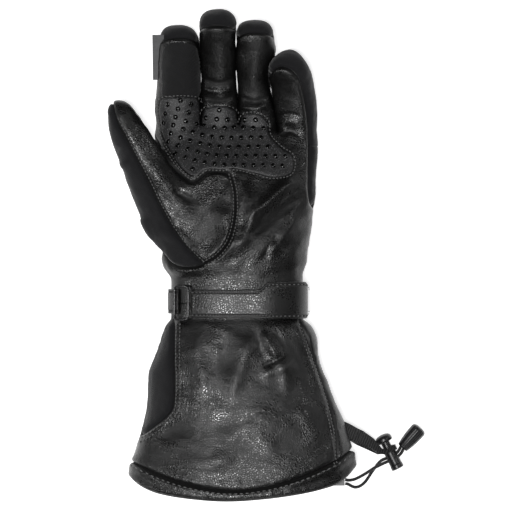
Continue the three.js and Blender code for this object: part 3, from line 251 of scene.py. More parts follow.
# Half width and height of a stitch, and the groove that a row of them lies in on the strap
STITCH_WIDTH = 0.42
STITCH_HEIGHT = 0.4
ROW_HALF = 0.7
ROW_DEPTH = 0.3

# Form of the shell: powers of its superellipses, the hand's end past the knuckles, and the thumb's range
ROUNDNESS = 2.4
FINGER_ROUNDNESS = 2.2
END_DOME = 8.5
LAST_SECTION = 1.06 * HAND_LENGTH
SECTION_BLEND = 0.2
THUMB_END = 0.934 * THUMB_LENGTH
THUMB_LOW = 20
ABOVE_THUMB_BASE = 60

# A finger's bend: it starts at a share of its length and grows with a power of what is left
BEND_STEPS = 40
BEND_START = 0.15
BEND_POWER = 1.2
FINGER_START = HAND_LENGTH - 20
SLIT_HALF = 0.6

# Relief: depth of the hand's folds, half width and depth of a seam's groove, reach of its puffed edge
FOLD_DEPTH = 1.5
GROOVE_HALF = 1.2
GROOVE_DEPTH = 1.3
PUFF_REACH = 3.2
PUFF_HEIGHT = 0.9
NO_SEAM = 99.0

# Ripples: size in millimetres, seed and height
BROAD_RIPPLE = (34, 3, 0.5)
SMALL_RIPPLE = (12, 5, 0.15)
FINE_RIPPLE = (5.0, 8, 0.05)
SEAM_RIPPLE = (7, 11, 0.2)

# Widths over which the fingers, the thumb and the floor round off against the rest
FINGER_BLEND = 4.0
THUMB_BLEND = 6.0
FLOOR_BLEND = 2.5
BAND_LOW = STRAP_WIDTH / 2 - STRAP_MIDDLE + 1.2
BAND_HIGH = TAB_RISE + 1.2

# Grid that the shell is worked out on
STEP = 1.12
GRID_LOW = np.array([-97.0, -146.0, -3.0])
GRID_HIGH = np.array([92.0, 215.0, 66.0])

# Photograph: millimetres for each of its pixels and the pixel of the wrist's middle
PHOTO_SIDE = 514
PIXEL = 0.713
WRIST_PIXEL = (238, 303)
CAMERA_HEIGHT = 3.0
MIDDLE_HEIGHT = 0.025
FLOOR_GLOW = 0.72


def from_photo(points):
    """Places on the palm side from pixels of the photograph, which looks straight down."""
    points = np.asarray(points, float)
    return (points - WRIST_PIXEL) * (PIXEL, -PIXEL)


def on_hand(line):
    """Hand shares as millimetres."""
    return np.asarray(line, float) * (PALM_WIDTH, HAND_LENGTH)


def on_cuff(line):
    """Cuff shares as millimetres."""
    return np.asarray(line, float) * (HEM_WIDTH, -CUFF_LENGTH)


# Fingertip caps: where the leather ends on index, middle and ring finger, and how much its line bows;
# then the side seam of the little finger, in photograph pixels
CAP_SEAMS = (188.2, 196.4, 191.8)
CAP_BOW = 2.6
LITTLE_SEAM = from_photo([
    (268, 76), (275, 69), (285, 68), (296, 76), (302, 88), (307, 110), (309, 133), (309, 160), (309, 190),
    (311, 203), (320, 214), (336, 224),
])


# Camera, floor and light

def make_camera():
    """Looks straight down from far off, so that one pixel of the photograph spans PIXEL at mid depth."""
    data = bpy.data.cameras.new("camera")
    data.lens = data.sensor_width * CAMERA_HEIGHT / (PHOTO_SIDE * PIXEL * MM)
    data.clip_end = 20
    camera = bpy.data.objects.new("camera", data)
    bpy.context.scene.collection.objects.link(camera)
    middle = from_photo((PHOTO_SIDE / 2, PHOTO_SIDE / 2))
    across, up = (middle + SHIFT[:2]) * MM
    camera.location = (across, up, CAMERA_HEIGHT + MIDDLE_HEIGHT)
    bpy.context.scene.camera = camera


def area_light(name, place, size, power, target=(0, 0, 0.02)):
    """A soft square light at a place, facing a target."""
    data = bpy.data.lights.new(name, "AREA")
    data.energy = power
    data.size = size
    light = bpy.data.objects.new(name, data)
    bpy.context.scene.collection.objects.link(light)
    light.location = place
    aim = np.array(target) - np.array(place)
    light.rotation_euler = (math.atan2(math.hypot(aim[0], aim[1]), -aim[2]), 0,
                            math.atan2(aim[0], -aim[1]) + math.pi)


def make_light():
    """A dim room with one strong softbox above and three weak ones around, so that crowns catch the light."""
    world = bpy.data.worlds.new("room")
    bpy.context.scene.world = world
    world.use_nodes = True
    world.node_tree.nodes["Background"].inputs[0].default_value = (1, 1, 1, 1)
    world.node_tree.nodes["Background"].inputs[1].default_value = 0.04
    area_light("softbox_top", (-0.3, -0.26, 3.5), 0.62, 76)
    area_light("softbox_left", (-2.1, -0.1, 1.6), 0.5, 12)
    area_light("softbox_right", (1.9, 1.0, 1.9), 0.5, 9)
    area_light("softbox_front", (0.2, -2.1, 1.5), 0.4, 7)
    bpy.context.scene.view_settings.view_transform = "Standard"


def make_floor():
    """A wide pale sheet under the glove."""
    side = 4.0
    mesh = bpy.data.meshes.new("floor")
    corners = [(-side, -side, -0.0002), (side, -side, -0.0002), (side, side, -0.0002), (-side, side, -0.0002)]
    mesh.from_pydata(corners, [], [(0, 1, 2, 3)])
    floor = bpy.data.objects.new("floor", mesh)
    bpy.context.scene.collection.objects.link(floor)
    material = bpy.data.materials.new("floor_paper")
    material.use_nodes = True
    shader = material.node_tree.nodes["Principled BSDF"]
    shader.inputs["Base Color"].default_value = (0.92, 0.92, 0.92, 1)
    shader.inputs["Roughness"].default_value = 0.9
    shader.inputs["Emission Color"].default_value = (1, 1, 1, 1)
    shader.inputs["Emission Strength"].default_value = FLOOR_GLOW
    mesh.materials.append(material)


make_camera()
make_light()
make_floor()


# Materials

def add_node(tree, kind, **values):
    """A node with its sockets set to values or linked, by name or as i and a number; _ sets a property."""
    node = tree.nodes.new(kind)
    for name, value in values.items():
        if name.startswith("_"):
            setattr(node, name[1:], value)
            continue
        key = int(name[1:]) if name[0] == "i" and name[1:].isdigit() else name.replace("_", " ")
        socket = node.inputs[key]
        if isinstance(value, bpy.types.NodeSocket):
            tree.links.new(value, socket)
        else:
            socket.default_value = value
    return node


def maths(tree, kind, *values):
    """Result of a Math node on two or three numbers or sockets."""
    sockets = {f"i{place}": value for place, value in enumerate(values)}
    return add_node(tree, "ShaderNodeMath", _operation=kind, **sockets).outputs[0]


def new_group(name, inputs, outputs):
    """A shader node group with named number sockets."""
    group = bpy.data.node_groups.new(name, "ShaderNodeTree")
    for label, value in inputs:
        socket = group.interface.new_socket(label, in_out="INPUT", socket_type="NodeSocketFloat")
        socket.default_value = value
    for label in outputs:
        group.interface.new_socket(label, in_out="OUTPUT", socket_type="NodeSocketFloat")
    return group, group.nodes.new("NodeGroupInput"), group.nodes.new("NodeGroupOutput")


def leather_grain():
    """Pebbled grain: cells of skin between fine furrows, with pores and slow wear."""
    group, given, out = new_group("leather_grain", [("Cell", 0.0015)], ["Height", "Furrow", "Wear"])
    place = group.nodes.new("ShaderNodeTexCoord").outputs["Object"]
    scale = maths(group, "DIVIDE", 1.0, given.outputs["Cell"])
    bend = add_node(group, "ShaderNodeTexNoise", Vector=place, Scale=900.0, Detail=2.0)
    moved = add_node(group, "ShaderNodeVectorMath", _operation="MULTIPLY_ADD", i0=bend.outputs["Color"],
                     i1=(0.0006, 0.0006, 0.0006), i2=place).outputs[0]
    cells = add_node(group, "ShaderNodeTexVoronoi", _feature="DISTANCE_TO_EDGE", Vector=moved, Scale=scale)
    furrow = add_node(group, "ShaderNodeMapRange", Value=cells.outputs["Distance"], From_Min=0.0,
                      From_Max=0.22, To_Min=1.0, To_Max=0.0)
    pores = add_node(group, "ShaderNodeTexNoise", Vector=place, Scale=2600.0, Detail=3.0)
    slow = add_node(group, "ShaderNodeTexNoise", Vector=place, Scale=45.0, Detail=4.0, Roughness=0.6)
    fine = maths(group, "MULTIPLY", pores.outputs["Fac"], 0.25)
    height = maths(group, "MULTIPLY_ADD", furrow.outputs[0], -1.0, fine)
    group.links.new(height, out.inputs["Height"])
    group.links.new(furrow.outputs[0], out.inputs["Furrow"])
    group.links.new(slow.outputs["Fac"], out.inputs["Wear"])
    return group


def fine_weave():
    """Close weave: two crossed sets of threads with a little lint."""
    group, given, out = new_group("fine_weave", [("Pitch", 0.0006)], ["Height", "Lint"])
    place = group.nodes.new("ShaderNodeTexCoord").outputs["Object"]
    scale = maths(group, "DIVIDE", 0.32, given.outputs["Pitch"])
    waves = []
    for turn in (0.7, -0.8):
        turned = add_node(group, "ShaderNodeMapping", Vector=place, Rotation=(0.4, 0.3, turn)).outputs[0]
        waves.append(add_node(group, "ShaderNodeTexWave", Vector=turned, Scale=scale, Distortion=0.6,
                              Detail=1.0).outputs["Fac"])
    both = maths(group, "ADD", *waves)
    lint = add_node(group, "ShaderNodeTexNoise", Vector=place, Scale=320.0, Detail=5.0, Roughness=0.7)
    group.links.new(both, out.inputs["Height"])
    group.links.new(lint.outputs["Fac"], out.inputs["Lint"])
    return group


GRAIN = leather_grain()
WEAVE = fine_weave()


def start_material(name, roughness, sheen=0.0, specular=0.5):
    """An empty material's tree and its shader, whose plain values are set on the shader itself."""
    material = bpy.data.materials.new(name)
    material.use_nodes = True
    shader = material.node_tree.nodes["Principled BSDF"]
    shader.inputs["Roughness"].default_value = roughness
    shader.inputs["Sheen Weight"].default_value = sheen
    shader.inputs["Sheen Roughness"].default_value = 0.4
    shader.inputs["Specular IOR Level"].default_value = specular
    return material, material.node_tree, shader


def place_group(tree, group, **values):
    """A node group in a material, with its own values."""
    node = tree.nodes.new("ShaderNodeGroup")
    node.node_tree = group
    for name, value in values.items():
        node.inputs[name].default_value = value
    return node


def tinted(tree, shader, share, dark, light):
    """Base colour between a dark and a light tone at a share."""
    ramp = add_node(tree, "ShaderNodeMix", _data_type="RGBA", i0=share)
    ramp.inputs[6].default_value = (*dark, 1)
    ramp.inputs[7].default_value = (*light, 1)
    tree.links.new(ramp.outputs[2], shader.inputs["Base Color"])


def bumped(tree, shader, height, distance, strength=1.0):
    """Relief on a shader from a height."""
    bump = add_node(tree, "ShaderNodeBump", Strength=strength, Distance=distance, Height=height)
    tree.links.new(bump.outputs["Normal"], shader.inputs["Normal"])


def leather_material(name, dark, light, cell, depth, rough):
    """Black grained leather: painted shade darkens its colour in fold valleys, seam grooves and stitch-row
    grooves, which are also duller; grain furrows are duller, and slow patches of wear are smoother and
    lighter.
    """
    material, tree, shader = start_material(name, 0.5)
    grain = place_group(tree, GRAIN, Cell=cell)
    # Painted shade: the base colour is darkened by 0.8 times the mesh's crease value, which is high in fold
    # valleys, seam grooves and stitch-row grooves; the same value makes them duller.
    crease = add_node(tree, "ShaderNodeAttribute", _attribute_name="crease").outputs["Fac"]
    tone = add_node(tree, "ShaderNodeMath", _operation="MULTIPLY_ADD", i0=crease, i1=-0.8,
                    i2=grain.outputs["Wear"], _use_clamp=True)
    tinted(tree, shader, tone.outputs[0], dark, light)
    worn = add_node(tree, "ShaderNodeMapRange", Value=grain.outputs["Wear"], From_Min=0.3, From_Max=0.7,
                    To_Min=rough + 0.07, To_Max=rough - 0.07)
    furrowed = maths(tree, "MULTIPLY_ADD", grain.outputs["Furrow"], 0.18, worn.outputs[0])
    dull = maths(tree, "MULTIPLY_ADD", crease, 0.5, furrowed)
    tree.links.new(dull, shader.inputs["Roughness"])
    bumped(tree, shader, grain.outputs["Height"], depth)
    return material


def fabric_material(name, dark, light, pitch, depth, rough, sheen=0.15):
    """Matt woven face with lint and a slight sheen."""
    material, tree, shader = start_material(name, rough, sheen=sheen, specular=0.25)
    weave = place_group(tree, WEAVE, Pitch=pitch)
    tinted(tree, shader, weave.outputs["Lint"], dark, light)
    bumped(tree, shader, weave.outputs["Height"], depth)
    return material


def grip_material():
    """Coarse knit under the dots, with small bright flecks painted into its colour as highlights where
    threads catch the light.
    """
    material, tree, shader = start_material("grip_knit", 0.5)
    place = tree.nodes.new("ShaderNodeTexCoord").outputs["Object"]
    cells = add_node(tree, "ShaderNodeTexVoronoi", Vector=place, Scale=1150.0)
    fleck = add_node(tree, "ShaderNodeTexNoise", Vector=place, Scale=1500.0, Detail=2.0)
    # Painted highlights: sparse spots of noise are tinted far lighter than the knit.
    share = add_node(tree, "ShaderNodeMapRange", Value=fleck.outputs["Fac"], From_Min=0.58, From_Max=0.8)
    tinted(tree, shader, share.outputs[0], (0.012, 0.012, 0.0125), (0.26, 0.26, 0.27))
    bumped(tree, shader, cells.outputs["Distance"], 0.0002, 0.7)
    return material


def plastic_material(name, tone, rough):
    """Moulded plastic with a faint orange peel and handling marks."""
    material, tree, shader = start_material(name, rough)
    place = tree.nodes.new("ShaderNodeTexCoord").outputs["Object"]
    marks = add_node(tree, "ShaderNodeTexNoise", Vector=place, Scale=220.0, Detail=6.0, Roughness=0.7)
    tinted(tree, shader, marks.outputs["Fac"], tone, tuple(1.8 * part for part in tone))
    spread = add_node(tree, "ShaderNodeMapRange", Value=marks.outputs["Fac"], To_Min=rough - 0.08,
                      To_Max=rough + 0.12)
    tree.links.new(spread.outputs[0], shader.inputs["Roughness"])
    bumped(tree, shader, marks.outputs["Fac"], 0.00006)
    return material


def ribbed_material(name, dark, light, pitch, lean, depth):
    """Webbing whose ribs lie across its run: sine bands a pitch apart, turned by a lean, painted lighter on
    their crests and darker between them as light and shade.
    """
    material, tree, shader = start_material(name, 0.6, sheen=0.1, specular=0.35)
    place = tree.nodes.new("ShaderNodeTexCoord").outputs["Object"]
    run = add_node(tree, "ShaderNodeMapping", Vector=place, Rotation=(0, 0, -lean)).outputs[0]
    ribs = add_node(tree, "ShaderNodeTexWave", _bands_direction="X", Vector=run, Scale=math.pi / 10 / pitch,
                    Distortion=0.3, Detail=1.0).outputs["Fac"]
    # Painted light and shade: the base colour follows the ribs, lighter on their crests and darker between
    # them.
    tinted(tree, shader, ribs, dark, light)
    bumped(tree, shader, ribs, depth)
    return material


def woven_material(name, dark, light, along, across, depth, slant=0.0):
    """Braid on its own UV map: along and across are the counts of threads."""
    material, tree, shader = start_material(name, 0.6, sheen=0.1, specular=0.35)
    place = tree.nodes.new("ShaderNodeUVMap").outputs["UV"]
    sized = add_node(tree, "ShaderNodeMapping", Vector=place, Scale=(across, along, 1),
                     Rotation=(0, 0, slant)).outputs[0]
    bars = add_node(tree, "ShaderNodeTexBrick", Vector=sized, Scale=1.0, Mortar_Size=0.12, Mortar_Smooth=1.0,
                    Brick_Width=1.0, Row_Height=0.5)
    height = maths(tree, "SUBTRACT", 1.0, bars.outputs["Fac"])
    # Painted shade: the base colour is darker in the gaps between the braid's threads and lighter on the
    # threads.
    tinted(tree, shader, height, dark, light)
    bumped(tree, shader, height, depth)
    return material


LEATHER = leather_material("leather_black", (0.001, 0.001, 0.001), (0.0035, 0.0034, 0.0033), 0.0015,
                           0.00007, 0.27)
STRAP_LEATHER = leather_material("leather_strap", (0.001, 0.001, 0.001), (0.004, 0.0039, 0.0038), 0.0016,
                                 0.00006, 0.27)
SOFTSHELL = fabric_material("softshell_dark", (0.0042, 0.0042, 0.005), (0.0105, 0.0105, 0.012), 0.0006,
                            0.00008, 0.8)
TOUCH = fabric_material("touch_knit", (0.0062, 0.0062, 0.0066), (0.013, 0.013, 0.0138), 0.0008, 0.00014, 0.75)
LABEL = fabric_material("label_satin", (0.08, 0.081, 0.083), (0.17, 0.172, 0.176), 0.0004, 0.00006, 0.55)
GRIP = grip_material()
DOT = plastic_material("dot_silicone", (0.0006, 0.0006, 0.0006), 0.1)
PLASTIC = plastic_material("moulded_black", (0.005, 0.005, 0.0055), 0.34)
RING_PLASTIC = plastic_material("ring_black", (0.008, 0.008, 0.0085), 0.24)
WEBBING = ribbed_material("webbing_black", (0.002, 0.002, 0.002), (0.022, 0.022, 0.023), 0.0017, -0.38,
                          0.0004)
BRAID = woven_material("cord_braid", (0.006, 0.006, 0.006), (0.035, 0.035, 0.036), 60, 8, 0.0002, 0.6)
THREAD = plastic_material("thread_dark", (0.08, 0.08, 0.08), 0.42)


# Meshes

def make_piece(name, points, faces, material, stands_for=(), body="glove", attributes=None, uv=None):
    """A smooth piece of the glove from points in millimetres and faces, with its material."""
    mesh = bpy.data.meshes.new(name)
    faces = np.asarray(faces)
    count, corners = faces.shape
    mesh.vertices.add(len(points))
    mesh.vertices.foreach_set("co", ((points + SHIFT) * MM).astype(np.float32).ravel())
    mesh.loops.add(count * corners)
    mesh.loops.foreach_set("vertex_index", faces.astype(np.int32).ravel())
    mesh.polygons.add(count)
    mesh.polygons.foreach_set("loop_start", np.arange(count, dtype=np.int32) * corners)
    mesh.polygons.foreach_set("use_smooth", np.ones(count, bool))
    mesh.update(calc_edges=True)
    mesh.validate()
    if uv is not None:
        layer = mesh.uv_layers.new(name="along")
        layer.data.foreach_set("uv", uv[faces].astype(np.float32).ravel())
    for label, values in (attributes or {}).items():
        mesh.attributes.new(label, "FLOAT", "POINT").data.foreach_set("value", values.astype(np.float32))
    mesh.materials.append(material)
    piece = bpy.data.objects.new(name, mesh)
    bpy.context.scene.collection.objects.link(piece)
    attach(piece, body)
    if stands_for:
        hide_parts(*stands_for)
    return piece


def through(rows, at):
    """Columns of a table at places in its first column: a cubic through the rows."""
    rows = np.asarray(rows, float)
    place = rows[:, 0]
    at = np.clip(np.asarray(at, float), place[0], place[-1])
    i = np.clip(np.searchsorted(place, at, side="right") - 1, 0, len(rows) - 2)
    before = np.maximum(i - 1, 0)
    after = np.minimum(i + 2, len(rows) - 1)
    span = (place[i + 1] - place[i])[..., None]
    share = (at - place[i])[..., None] / span
    slope_in = (rows[i + 1] - rows[before]) / (place[i + 1] - place[before])[..., None] * span
    slope_out = (rows[after] - rows[i]) / (place[after] - place[i])[..., None] * span
    found = ((2 * share**3 - 3 * share**2 + 1) * rows[i] + (share**3 - 2 * share**2 + share) * slope_in
             + (3 * share**2 - 2 * share**3) * rows[i + 1] + (share**3 - share**2) * slope_out)
    return np.moveaxis(found[..., 1:], -1, 0)


def smooth_line(points, spacing=1.0):
    """Points about a spacing apart on a cubic curve through the given ones, in any dimension."""
    points = np.asarray(points, float)
    steps = np.linalg.norm(np.diff(points, axis=0), axis=1)
    place = np.concatenate([[0], np.cumsum(steps)])
    at = np.linspace(0, place[-1], max(int(place[-1] / spacing), 2) + 1)
    return through(np.column_stack([place, points]), at).T


def smoothstep(value, low, high):
    """0 below low, 1 above high, and a smooth cubic between."""
    share = np.clip((value - low) / (high - low), 0, 1)
    return share * share * (3 - 2 * share)


def soft_max(a, b, blend):
    """The larger of two values, rounded over a blend width where they meet."""
    share = np.clip(0.5 + 0.5 * (a - b) / blend, 0, 1)
    return b + (a - b) * share + blend * share * (1 - share)


def soft_min(a, b, blend):
    """The smaller of two values, rounded where they meet."""
    return -soft_max(-a, -b, blend)


# The glove's outer form, as a signed distance in millimetres

def beyond(distance, zone):
    """Distance past the strap's band, starting gently."""
    past = distance - zone * np.exp(3 * (zone - distance) / zone)
    return np.where(distance <= zone, 0, np.maximum(past, 0))


def body_section(y):
    """Left and right half widths, top and low of the hand's or cuff's section at heights."""
    y = np.asarray(y, float)
    wrist_half = WRIST_WIDTH / 2
    wrist_top = WRIST_DEPTH + 0.05 * HEM_DEPTH
    flare = HEM_WIDTH / 2 - wrist_half
    left, right, top, low = through(CUFF_ROWS, beyond(-y, BAND_LOW) / CUFF_LENGTH)
    cuff = np.array([wrist_half + flare * left, wrist_half + flare * right,
                     wrist_top + (HEM_DEPTH - wrist_top) * top, -HEM_DEPTH * low])
    up = beyond(y, BAND_HIGH) / HAND_LENGTH
    left, right, top, low = through(HAND_ROWS, up)
    blend = smoothstep(up, 0, SECTION_BLEND)
    spread = PALM_WIDTH / 2 - wrist_half
    first = CUFF_ROWS[0]
    hand = np.array([
        wrist_half + (1 - blend) * flare * first[1] + blend * spread * left,
        wrist_half + (1 - blend) * flare * first[2] + blend * spread * right,
        (1 - blend) * wrist_top + blend * PALM_DEPTH * top,
        (1 - blend) * -HEM_DEPTH * first[4] + blend * -PALM_DEPTH * low,
    ])
    return np.where(y < 0, cuff, hand)


def oval_distance(across, half_width, rise, half_depth, power):
    """Nearly the distance to a superellipse: (p - 1) over the slope of p, p being its size there."""
    u = np.abs(across) / half_width
    w = np.abs(rise) / half_depth
    size = np.maximum((u**power + w**power) ** (1 / power), 0.05)
    slope = np.sqrt((u ** (power - 1) / half_width) ** 2 + (w ** (power - 1) / half_depth) ** 2)
    return (size - 1) / np.maximum(slope * size ** (1 - power), 0.02)


def body_distance(x, y, z):
    """Distance to the cuff and hand, whose end past the knuckles is a low dome."""
    left, right, top, low = body_section(np.minimum(y, LAST_SECTION))
    past = np.clip((y - HAND_LENGTH) / END_DOME, 0, 0.98)
    shrink = np.sqrt(1 - past**2)
    half_depth = (top - low) / 2 * shrink
    half_width = (left + right) / 2 * (0.6 + 0.4 * shrink)
    distance = oval_distance(x - (right - left) / 2, half_width, z - (top + low) / 2, half_depth, ROUNDNESS)
    return soft_max(distance, y - HAND_LENGTH - END_DOME, 1.5)


def bend_at(curl, share):
    """A finger's turn in radians at shares of its length, from none at BEND_START to its curl at the tip."""
    return math.radians(curl) * (np.maximum(share - BEND_START, 0) / (1 - BEND_START)) ** BEND_POWER


def finger_line(finger):
    """Centre line of a finger in Y and Z, turning up towards its tip."""
    _, reach, curl, _ = finger
    turn = bend_at(curl, np.arange(0.5, BEND_STEPS) / BEND_STEPS)
    run = np.zeros((BEND_STEPS + 1, 2))
    run[1:] = np.cumsum(np.column_stack([np.cos(turn), np.sin(turn)]), axis=0) / BEND_STEPS
    share = np.arange(BEND_STEPS // 2, BEND_STEPS + 1) / BEND_STEPS
    tilt = bend_at(curl, share)
    target = HAND_LENGTH + reach * FINGER_REACH - FINGER_START
    deep = through(FINGER_GIRTH, share)[1]
    length = np.min((target - deep * FINGER_DEPTH / 2 * np.sin(tilt)) / run[BEND_STEPS // 2:, 0])
    return run * length + (FINGER_START, FINGER_DEPTH / 2 + 0.5)


def along_line(line, y, z):
    """Share along a centre line, offset above it and distance past its end, at places in Y and Z."""
    start = line[:-1]
    step = np.diff(line, axis=0)
    length = np.linalg.norm(step, axis=1)
    dy = y[..., None] - start[:, 0]
    dz = z[..., None] - start[:, 1]
    reach = (dy * step[:, 0] + dz * step[:, 1]) / length**2
    share = np.clip(reach, 0, 1)
    away = (dy - share * step[:, 0]) ** 2 + (dz - share * step[:, 1]) ** 2
    best = np.argmin(away, axis=-1)[..., None]
    pick = lambda values: np.take_along_axis(values, best, axis=-1)[..., 0]
    offset = (step[:, 0] * dz - step[:, 1] * dy) / length
    past = (reach[..., -1] - 1) * length[-1]
    return (best[..., 0] + pick(share)) / BEND_STEPS, pick(offset), past


def column_line(index, y):
    """X of the line between two fingers at heights."""
    up = (np.asarray(y) - HAND_LENGTH) / FINGER_REACH
    return through(COLUMN_ROWS, up)[index] * PALM_WIDTH


def finger_distance(index, x, y, z):
    """Distance to a finger between its two boundary lines."""
    line = finger_line(FINGERS[index])
    share, offset, past = along_line(line, y, z)
    wide, deep = through(FINGER_GIRTH, share)
    left, right = column_line(index, y), column_line(index + 1, y)
    half = (right - left) / 2 - GAP / 2
    distance = oval_distance(x - (left + right) / 2, half * wide, offset, FINGER_DEPTH / 2 * deep,
                             FINGER_ROUNDNESS)
    return soft_max(distance, past, 2.5)


def thumb_place(x, y):
    """Distance down the thumb's axis from its tip, and to the side of it, towards the palm."""
    dx, dy = x - THUMB_TIP[0], y - THUMB_TIP[1]
    down = dx * math.sin(THUMB_LEAN) - dy * math.cos(THUMB_LEAN)
    return down, dx * math.cos(THUMB_LEAN) + dy * math.sin(THUMB_LEAN)


def thumb_distance(x, y, z):
    """Distance to the thumb."""
    down, side = thumb_place(x, y)
    outer, inner, rise, deep = through(THUMB_ROWS, down / THUMB_LENGTH)
    middle = (inner - outer) / 2 * THUMB_WIDTH
    half = (inner + outer) / 2 * THUMB_WIDTH
    distance = oval_distance(side - middle, half, z - rise * THUMB_DEPTH, deep * THUMB_DEPTH,
                             FINGER_ROUNDNESS)
    return soft_max(soft_max(distance, -down, 2.0), down - THUMB_END, 4.0)


def grid_axes():
    """Places of the grid's planes along X, Y and Z."""
    return [np.arange(low, high, STEP) for low, high in zip(GRID_LOW, GRID_HIGH)]


def glove_distance():
    """The whole form on the grid: body, fingers with their gaps, thumb, flat on the floor."""
    axes = grid_axes()
    x, y, z = axes[0][:, None, None], axes[1][None, :, None], axes[2][None, None, :]
    field = body_distance(x, y, z).astype(np.float32)
    first = np.searchsorted(axes[1], FINGER_START - 4)
    near_y = y[:, first:]
    fingers = np.full((len(axes[0]), near_y.shape[1], len(axes[2])), 40.0, np.float32)
    flat_y, flat_z = np.broadcast_arrays(near_y, z)
    for index in range(4):
        fingers = np.minimum(fingers, finger_distance(index, x, flat_y, flat_z))
    joined = soft_min(field[:, first:], fingers, FINGER_BLEND)
    for index, crotch in enumerate(CROTCHES):
        slit = np.minimum(SLIT_HALF - np.abs(x - column_line(index + 1, near_y)), near_y - crotch)
        joined = soft_max(joined, slit, 1.0)
    field[:, first:] = joined
    low, high = np.searchsorted(axes[1], THUMB_LOW), np.searchsorted(axes[0], 10)
    thumb = thumb_distance(x[:high], y[:, low:], z)
    field[:high, low:] = soft_min(field[:high, low:], thumb, THUMB_BLEND)
    return soft_max(field, -z, FLOOR_BLEND).astype(np.float32)


CORNERS = np.array([(i, j, k) for i in (0, 1) for j in (0, 1) for k in (0, 1)])


def surface_net(field):
    """Faces of four around the zero surface: one point in each mixed cell, the mean of its crossings."""
    low = field < 0
    size = np.array(field.shape) - 1
    count = np.zeros(size, np.uint8)
    for i, j, k in CORNERS:
        count += low[i:size[0] + i, j:size[1] + j, k:size[2] + k]
    mixed = (count > 0) & (count < 8)
    cells = np.argwhere(mixed)
    number = np.full(size, -1, np.int32)
    number[mixed] = np.arange(len(cells))
    total = np.zeros((len(cells), 3))
    hits = np.zeros(len(cells))
    for axis in range(3):
        for start in CORNERS[CORNERS[:, axis] == 0]:
            end = start + np.eye(3, dtype=int)[axis]
            a, b = field[tuple((cells + start).T)], field[tuple((cells + end).T)]
            crossing = (a < 0) != (b < 0)
            share = np.where(crossing, a / np.where(crossing, a - b, 1), 0)
            total += crossing[:, None] * (start + share[:, None] * (end - start))
            hits += crossing
    faces = []
    for axis in range(3):
        step = np.eye(3, dtype=int)[axis]
        u, v = np.eye(3, dtype=int)[(axis + 1) % 3], np.eye(3, dtype=int)[(axis + 2) % 3]
        here = low[tuple(slice(0, n) for n in size)]
        there = low[tuple(slice(s, n + s) for s, n in zip(step, size))]
        edges = np.argwhere(here != there)
        edges = edges[(edges[:, (axis + 1) % 3] > 0) & (edges[:, (axis + 2) % 3] > 0)]
        ring = np.column_stack([number[tuple((edges - back).T)] for back in (0 * u, u, u + v, v)])
        outward = low[tuple(edges.T)]
        faces.append(np.where(outward[:, None], ring, ring[:, ::-1]))
    return GRID_LOW + (cells + total / hits[:, None]) * STEP, np.concatenate(faces)


def sampled(field, points):
    """Values of the grid at points, linear between its eight nearest."""
    place = (points - GRID_LOW) / STEP
    cell = np.clip(np.floor(place).astype(int), 0, np.array(field.shape) - 2)
    share = place - cell
    total = np.zeros(len(points))
    for corner in CORNERS:
        weight = np.prod(np.where(corner == 1, share, 1 - share), axis=1)
        total += weight * field[tuple((cell + corner).T)]
    return total


def slope_at(field, points):
    """Unit normals of the surface through points, from differences over a cell."""
    slope = np.empty_like(points)
    for axis in range(3):
        step = np.zeros(3)
        step[axis] = STEP * 0.75
        slope[:, axis] = sampled(field, points + step) - sampled(field, points - step)
    return slope / np.maximum(np.linalg.norm(slope, axis=1), 1e-6)[:, None]


def settled(field, points, faces, rounds=2, last_rounds=5):
    """Points evened out along the surface and put back on it, then plainly evened to hide the grid."""
    edges = np.concatenate([faces[:, [0, 1]], faces[:, [1, 2]], faces[:, [2, 3]], faces[:, [3, 0]]])
    near = np.bincount(edges[:, 0], minlength=len(points))[:, None]

    def evened(places, share):
        """Places moved by a share towards the mean of their neighbours."""
        mean = np.column_stack([
            np.bincount(edges[:, 0], places[edges[:, 1], axis], len(places)) for axis in range(3)
        ]) / near
        return (1 - share) * places + share * mean

    for _ in range(rounds):
        points = evened(points, 0.6)
        for _ in range(2):
            points = points - sampled(field, points)[:, None] * slope_at(field, points)
    for _ in range(last_rounds):
        points = evened(points, 0.5)
    return points


def cut(points, triangles, values):
    """Triangles split along the line where the values pass zero: all points, those above, those below."""
    above = values[triangles] > 0
    count = above.sum(axis=1)
    mixed = (count > 0) & (count < 3)
    odd_is_above = count[mixed] == 1
    odd = np.argmax(above[mixed] == odd_is_above[:, None], axis=1)
    turned = np.take_along_axis(triangles[mixed], (odd[:, None] + np.arange(3)) % 3, axis=1)
    a, b, c = turned.T
    pairs = np.sort(np.concatenate([np.column_stack([a, b]), np.column_stack([a, c])]), axis=1)
    key, place = np.unique(pairs[:, 0].astype(np.int64) * len(points) + pairs[:, 1], return_inverse=True)
    first, second = key // len(points), key % len(points)
    share = (values[first] / (values[first] - values[second]))[:, None]
    added = points[first] * (1 - share) + points[second] * share
    ab, ac = np.split(place.reshape(-1) + len(points), 2)
    tip = np.column_stack([a, ab, ac])
    rest = np.concatenate([np.column_stack([ab, b, c]), np.column_stack([ab, c, ac])])
    rest_above = np.concatenate([~odd_is_above, ~odd_is_above])
    upper = np.concatenate([triangles[count == 3], tip[odd_is_above], rest[rest_above]])
    lower = np.concatenate([triangles[count == 0], tip[~odd_is_above], rest[~rest_above]])
    return np.concatenate([points, added]), upper, lower


def line_side(line, points):
    """Signed distance to a line in X and Y: positive on its left."""
    start, step = line[:-1], np.diff(line, axis=0)
    length = np.maximum(np.linalg.norm(step, axis=1), 1e-9)
    found = np.empty(len(points))
    for part in np.array_split(np.arange(len(points)), max(len(points) // 20000, 1)):
        dx = points[part, 0, None] - start[:, 0]
        dy = points[part, 1, None] - start[:, 1]
        share = np.clip((dx * step[:, 0] + dy * step[:, 1]) / length**2, 0, 1)
        away = np.hypot(dx - share * step[:, 0], dy - share * step[:, 1])
        best = np.argmin(away, axis=1)
        row = np.arange(len(part))
        side = (step[:, 0] * dy - step[:, 1] * dx)[row, best]
        found[part] = np.where(side >= 0, 1, -1) * away[row, best]
    return found


